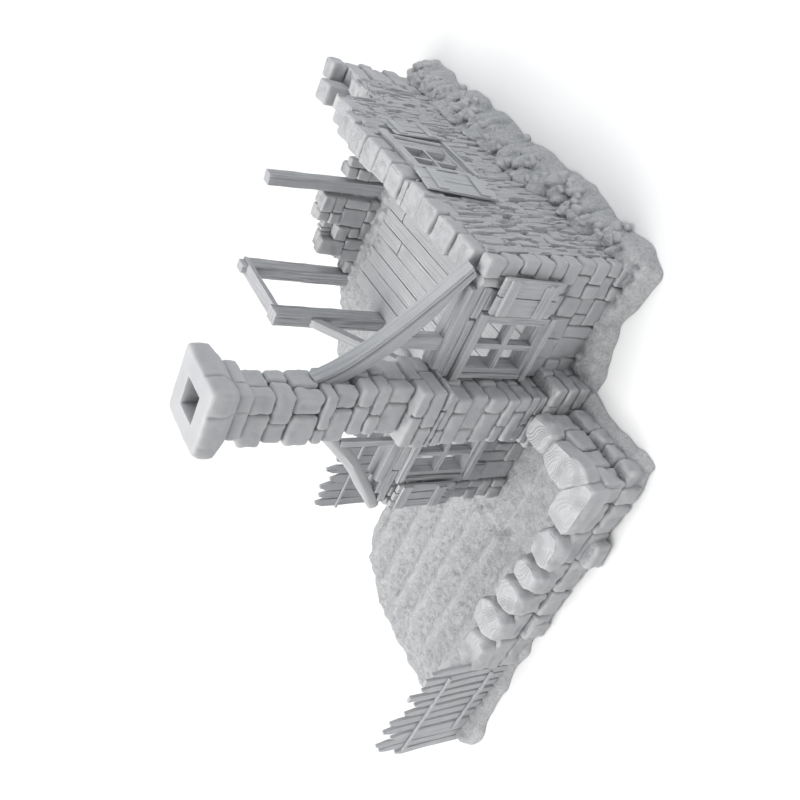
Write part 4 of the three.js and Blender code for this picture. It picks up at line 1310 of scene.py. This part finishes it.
def fences():
    low, high = span("picket_fence_front")
    tops = [(-76.3, 29.5), (-72.6, 37.2), (-69.2, 39.8), (-66.4, 35.4), (-61.6, 40.4), (-57.2, 39.8), (-53.0, 36.2), (-48.6, 34.6), (-44.6, 38.6), (-41.0, 35.4), (-37.6, 35.8), (-33.8, 34.8)]
    feet = [x - 1.2 for x, _ in tops]
    fence("pickets_front", "picket_fence_front", tops, feet, low[Y] + 1.0, [(low[X], high[X] - 0.4, 26.4), (low[X] + 6, high[X] - 2.4, 8.4)], 601, (2.5, 3.2))
    low, high = span("picket_fence_rear")
    pick = np.random.default_rng(66)
    xs = np.arange(low[X] + 2, high[X], 4.2)
    tops = [(x + pick.uniform(-0.4, 0.5), pick.uniform(31.5, 38.0)) for x in xs]
    fence("pickets_rear", "picket_fence_rear", tops, list(xs), low[Y] + 1.0, [(low[X], high[X], 26.2), (low[X], high[X], 8.2)], 651, (3.6, 4.2))


fences()


# ---- stage, light and camera ----


def studio():
    scene = bpy.context.scene
    scene.view_settings.view_transform = "Standard"
    mesh = bpy.data.meshes.new("floor")
    mesh.from_pydata([(-3, -3, 0), (3, -3, 0), (3, 3, 0), (-3, 3, 0)], [], [(0, 1, 2, 3)])
    floor = bpy.data.objects.new("floor", mesh)
    floor.location.z = -0.0002
    scene.collection.objects.link(floor)
    paper = bpy.data.materials.new("paper")
    paper.use_nodes = True
    shade = paper.node_tree.nodes["Principled BSDF"]
    shade.inputs["Base Color"].default_value = (0.8, 0.8, 0.8, 1)
    shade.inputs["Roughness"].default_value = 0.9
    shade.inputs["Specular IOR Level"].default_value = 0.1
    mesh.materials.append(paper)

    world = bpy.data.worlds.new("studio")
    scene.world = world
    world.use_nodes = True
    world.node_tree.nodes["Background"].inputs["Color"].default_value = (0.93, 0.965, 1.0, 1)
    world.node_tree.nodes["Background"].inputs["Strength"].default_value = 0.45

    def softbox(name, at, size, power, colour, target=(0, 0, 0.03)):
        lamp = bpy.data.lights.new(name, "AREA")
        lamp.shape = "SQUARE"
        lamp.size = size
        lamp.energy = power
        lamp.color = colour
        made = bpy.data.objects.new(name, lamp)
        made.location = at
        made.rotation_euler = (Vector(target) - Vector(at)).to_track_quat("-Z", "Y").to_euler()
        scene.collection.objects.link(made)

    softbox("key", (-0.25, -0.1, 0.95), 0.6, 10.0, (1.0, 0.985, 0.96))
    softbox("side", (0.75, 0.25, 0.5), 0.5, 2.9, (0.95, 0.975, 1.0))
    softbox("front", (-0.5, -0.65, 0.5), 0.4, 1.5, (0.97, 0.985, 1.0))
    softbox("backdrop", (-0.6, 0.74, 0.8), 0.5, 4.0, (1.0, 1.0, 1.0), (-0.6, 0.73, 0))
    bpy.data.lights["backdrop"].spread = math.radians(70)


def camera():
    """A level camera turned a quarter on its side: the model's up points to the picture's left."""
    azimuth, elevation = math.radians(39.76), math.radians(35.77)
    back = Vector((math.sin(azimuth) * math.cos(elevation), -math.cos(azimuth) * math.cos(elevation), math.sin(elevation)))
    right = Vector((math.cos(azimuth), math.sin(azimuth), 0))
    up = back.cross(right)
    lens = bpy.data.cameras.new("camera")
    lens.lens = 39.75
    lens.sensor_width = 36
    lens.clip_start = 0.01
    made = bpy.data.objects.new("camera", lens)
    at = Vector((0.15551, -0.19148, 0.1966))
    turn = Matrix((-up, right, back)).transposed().to_4x4()
    made.matrix_world = Matrix.Translation(at) @ turn
    bpy.context.scene.collection.objects.link(made)
    bpy.context.scene.camera = made


studio()
camera()
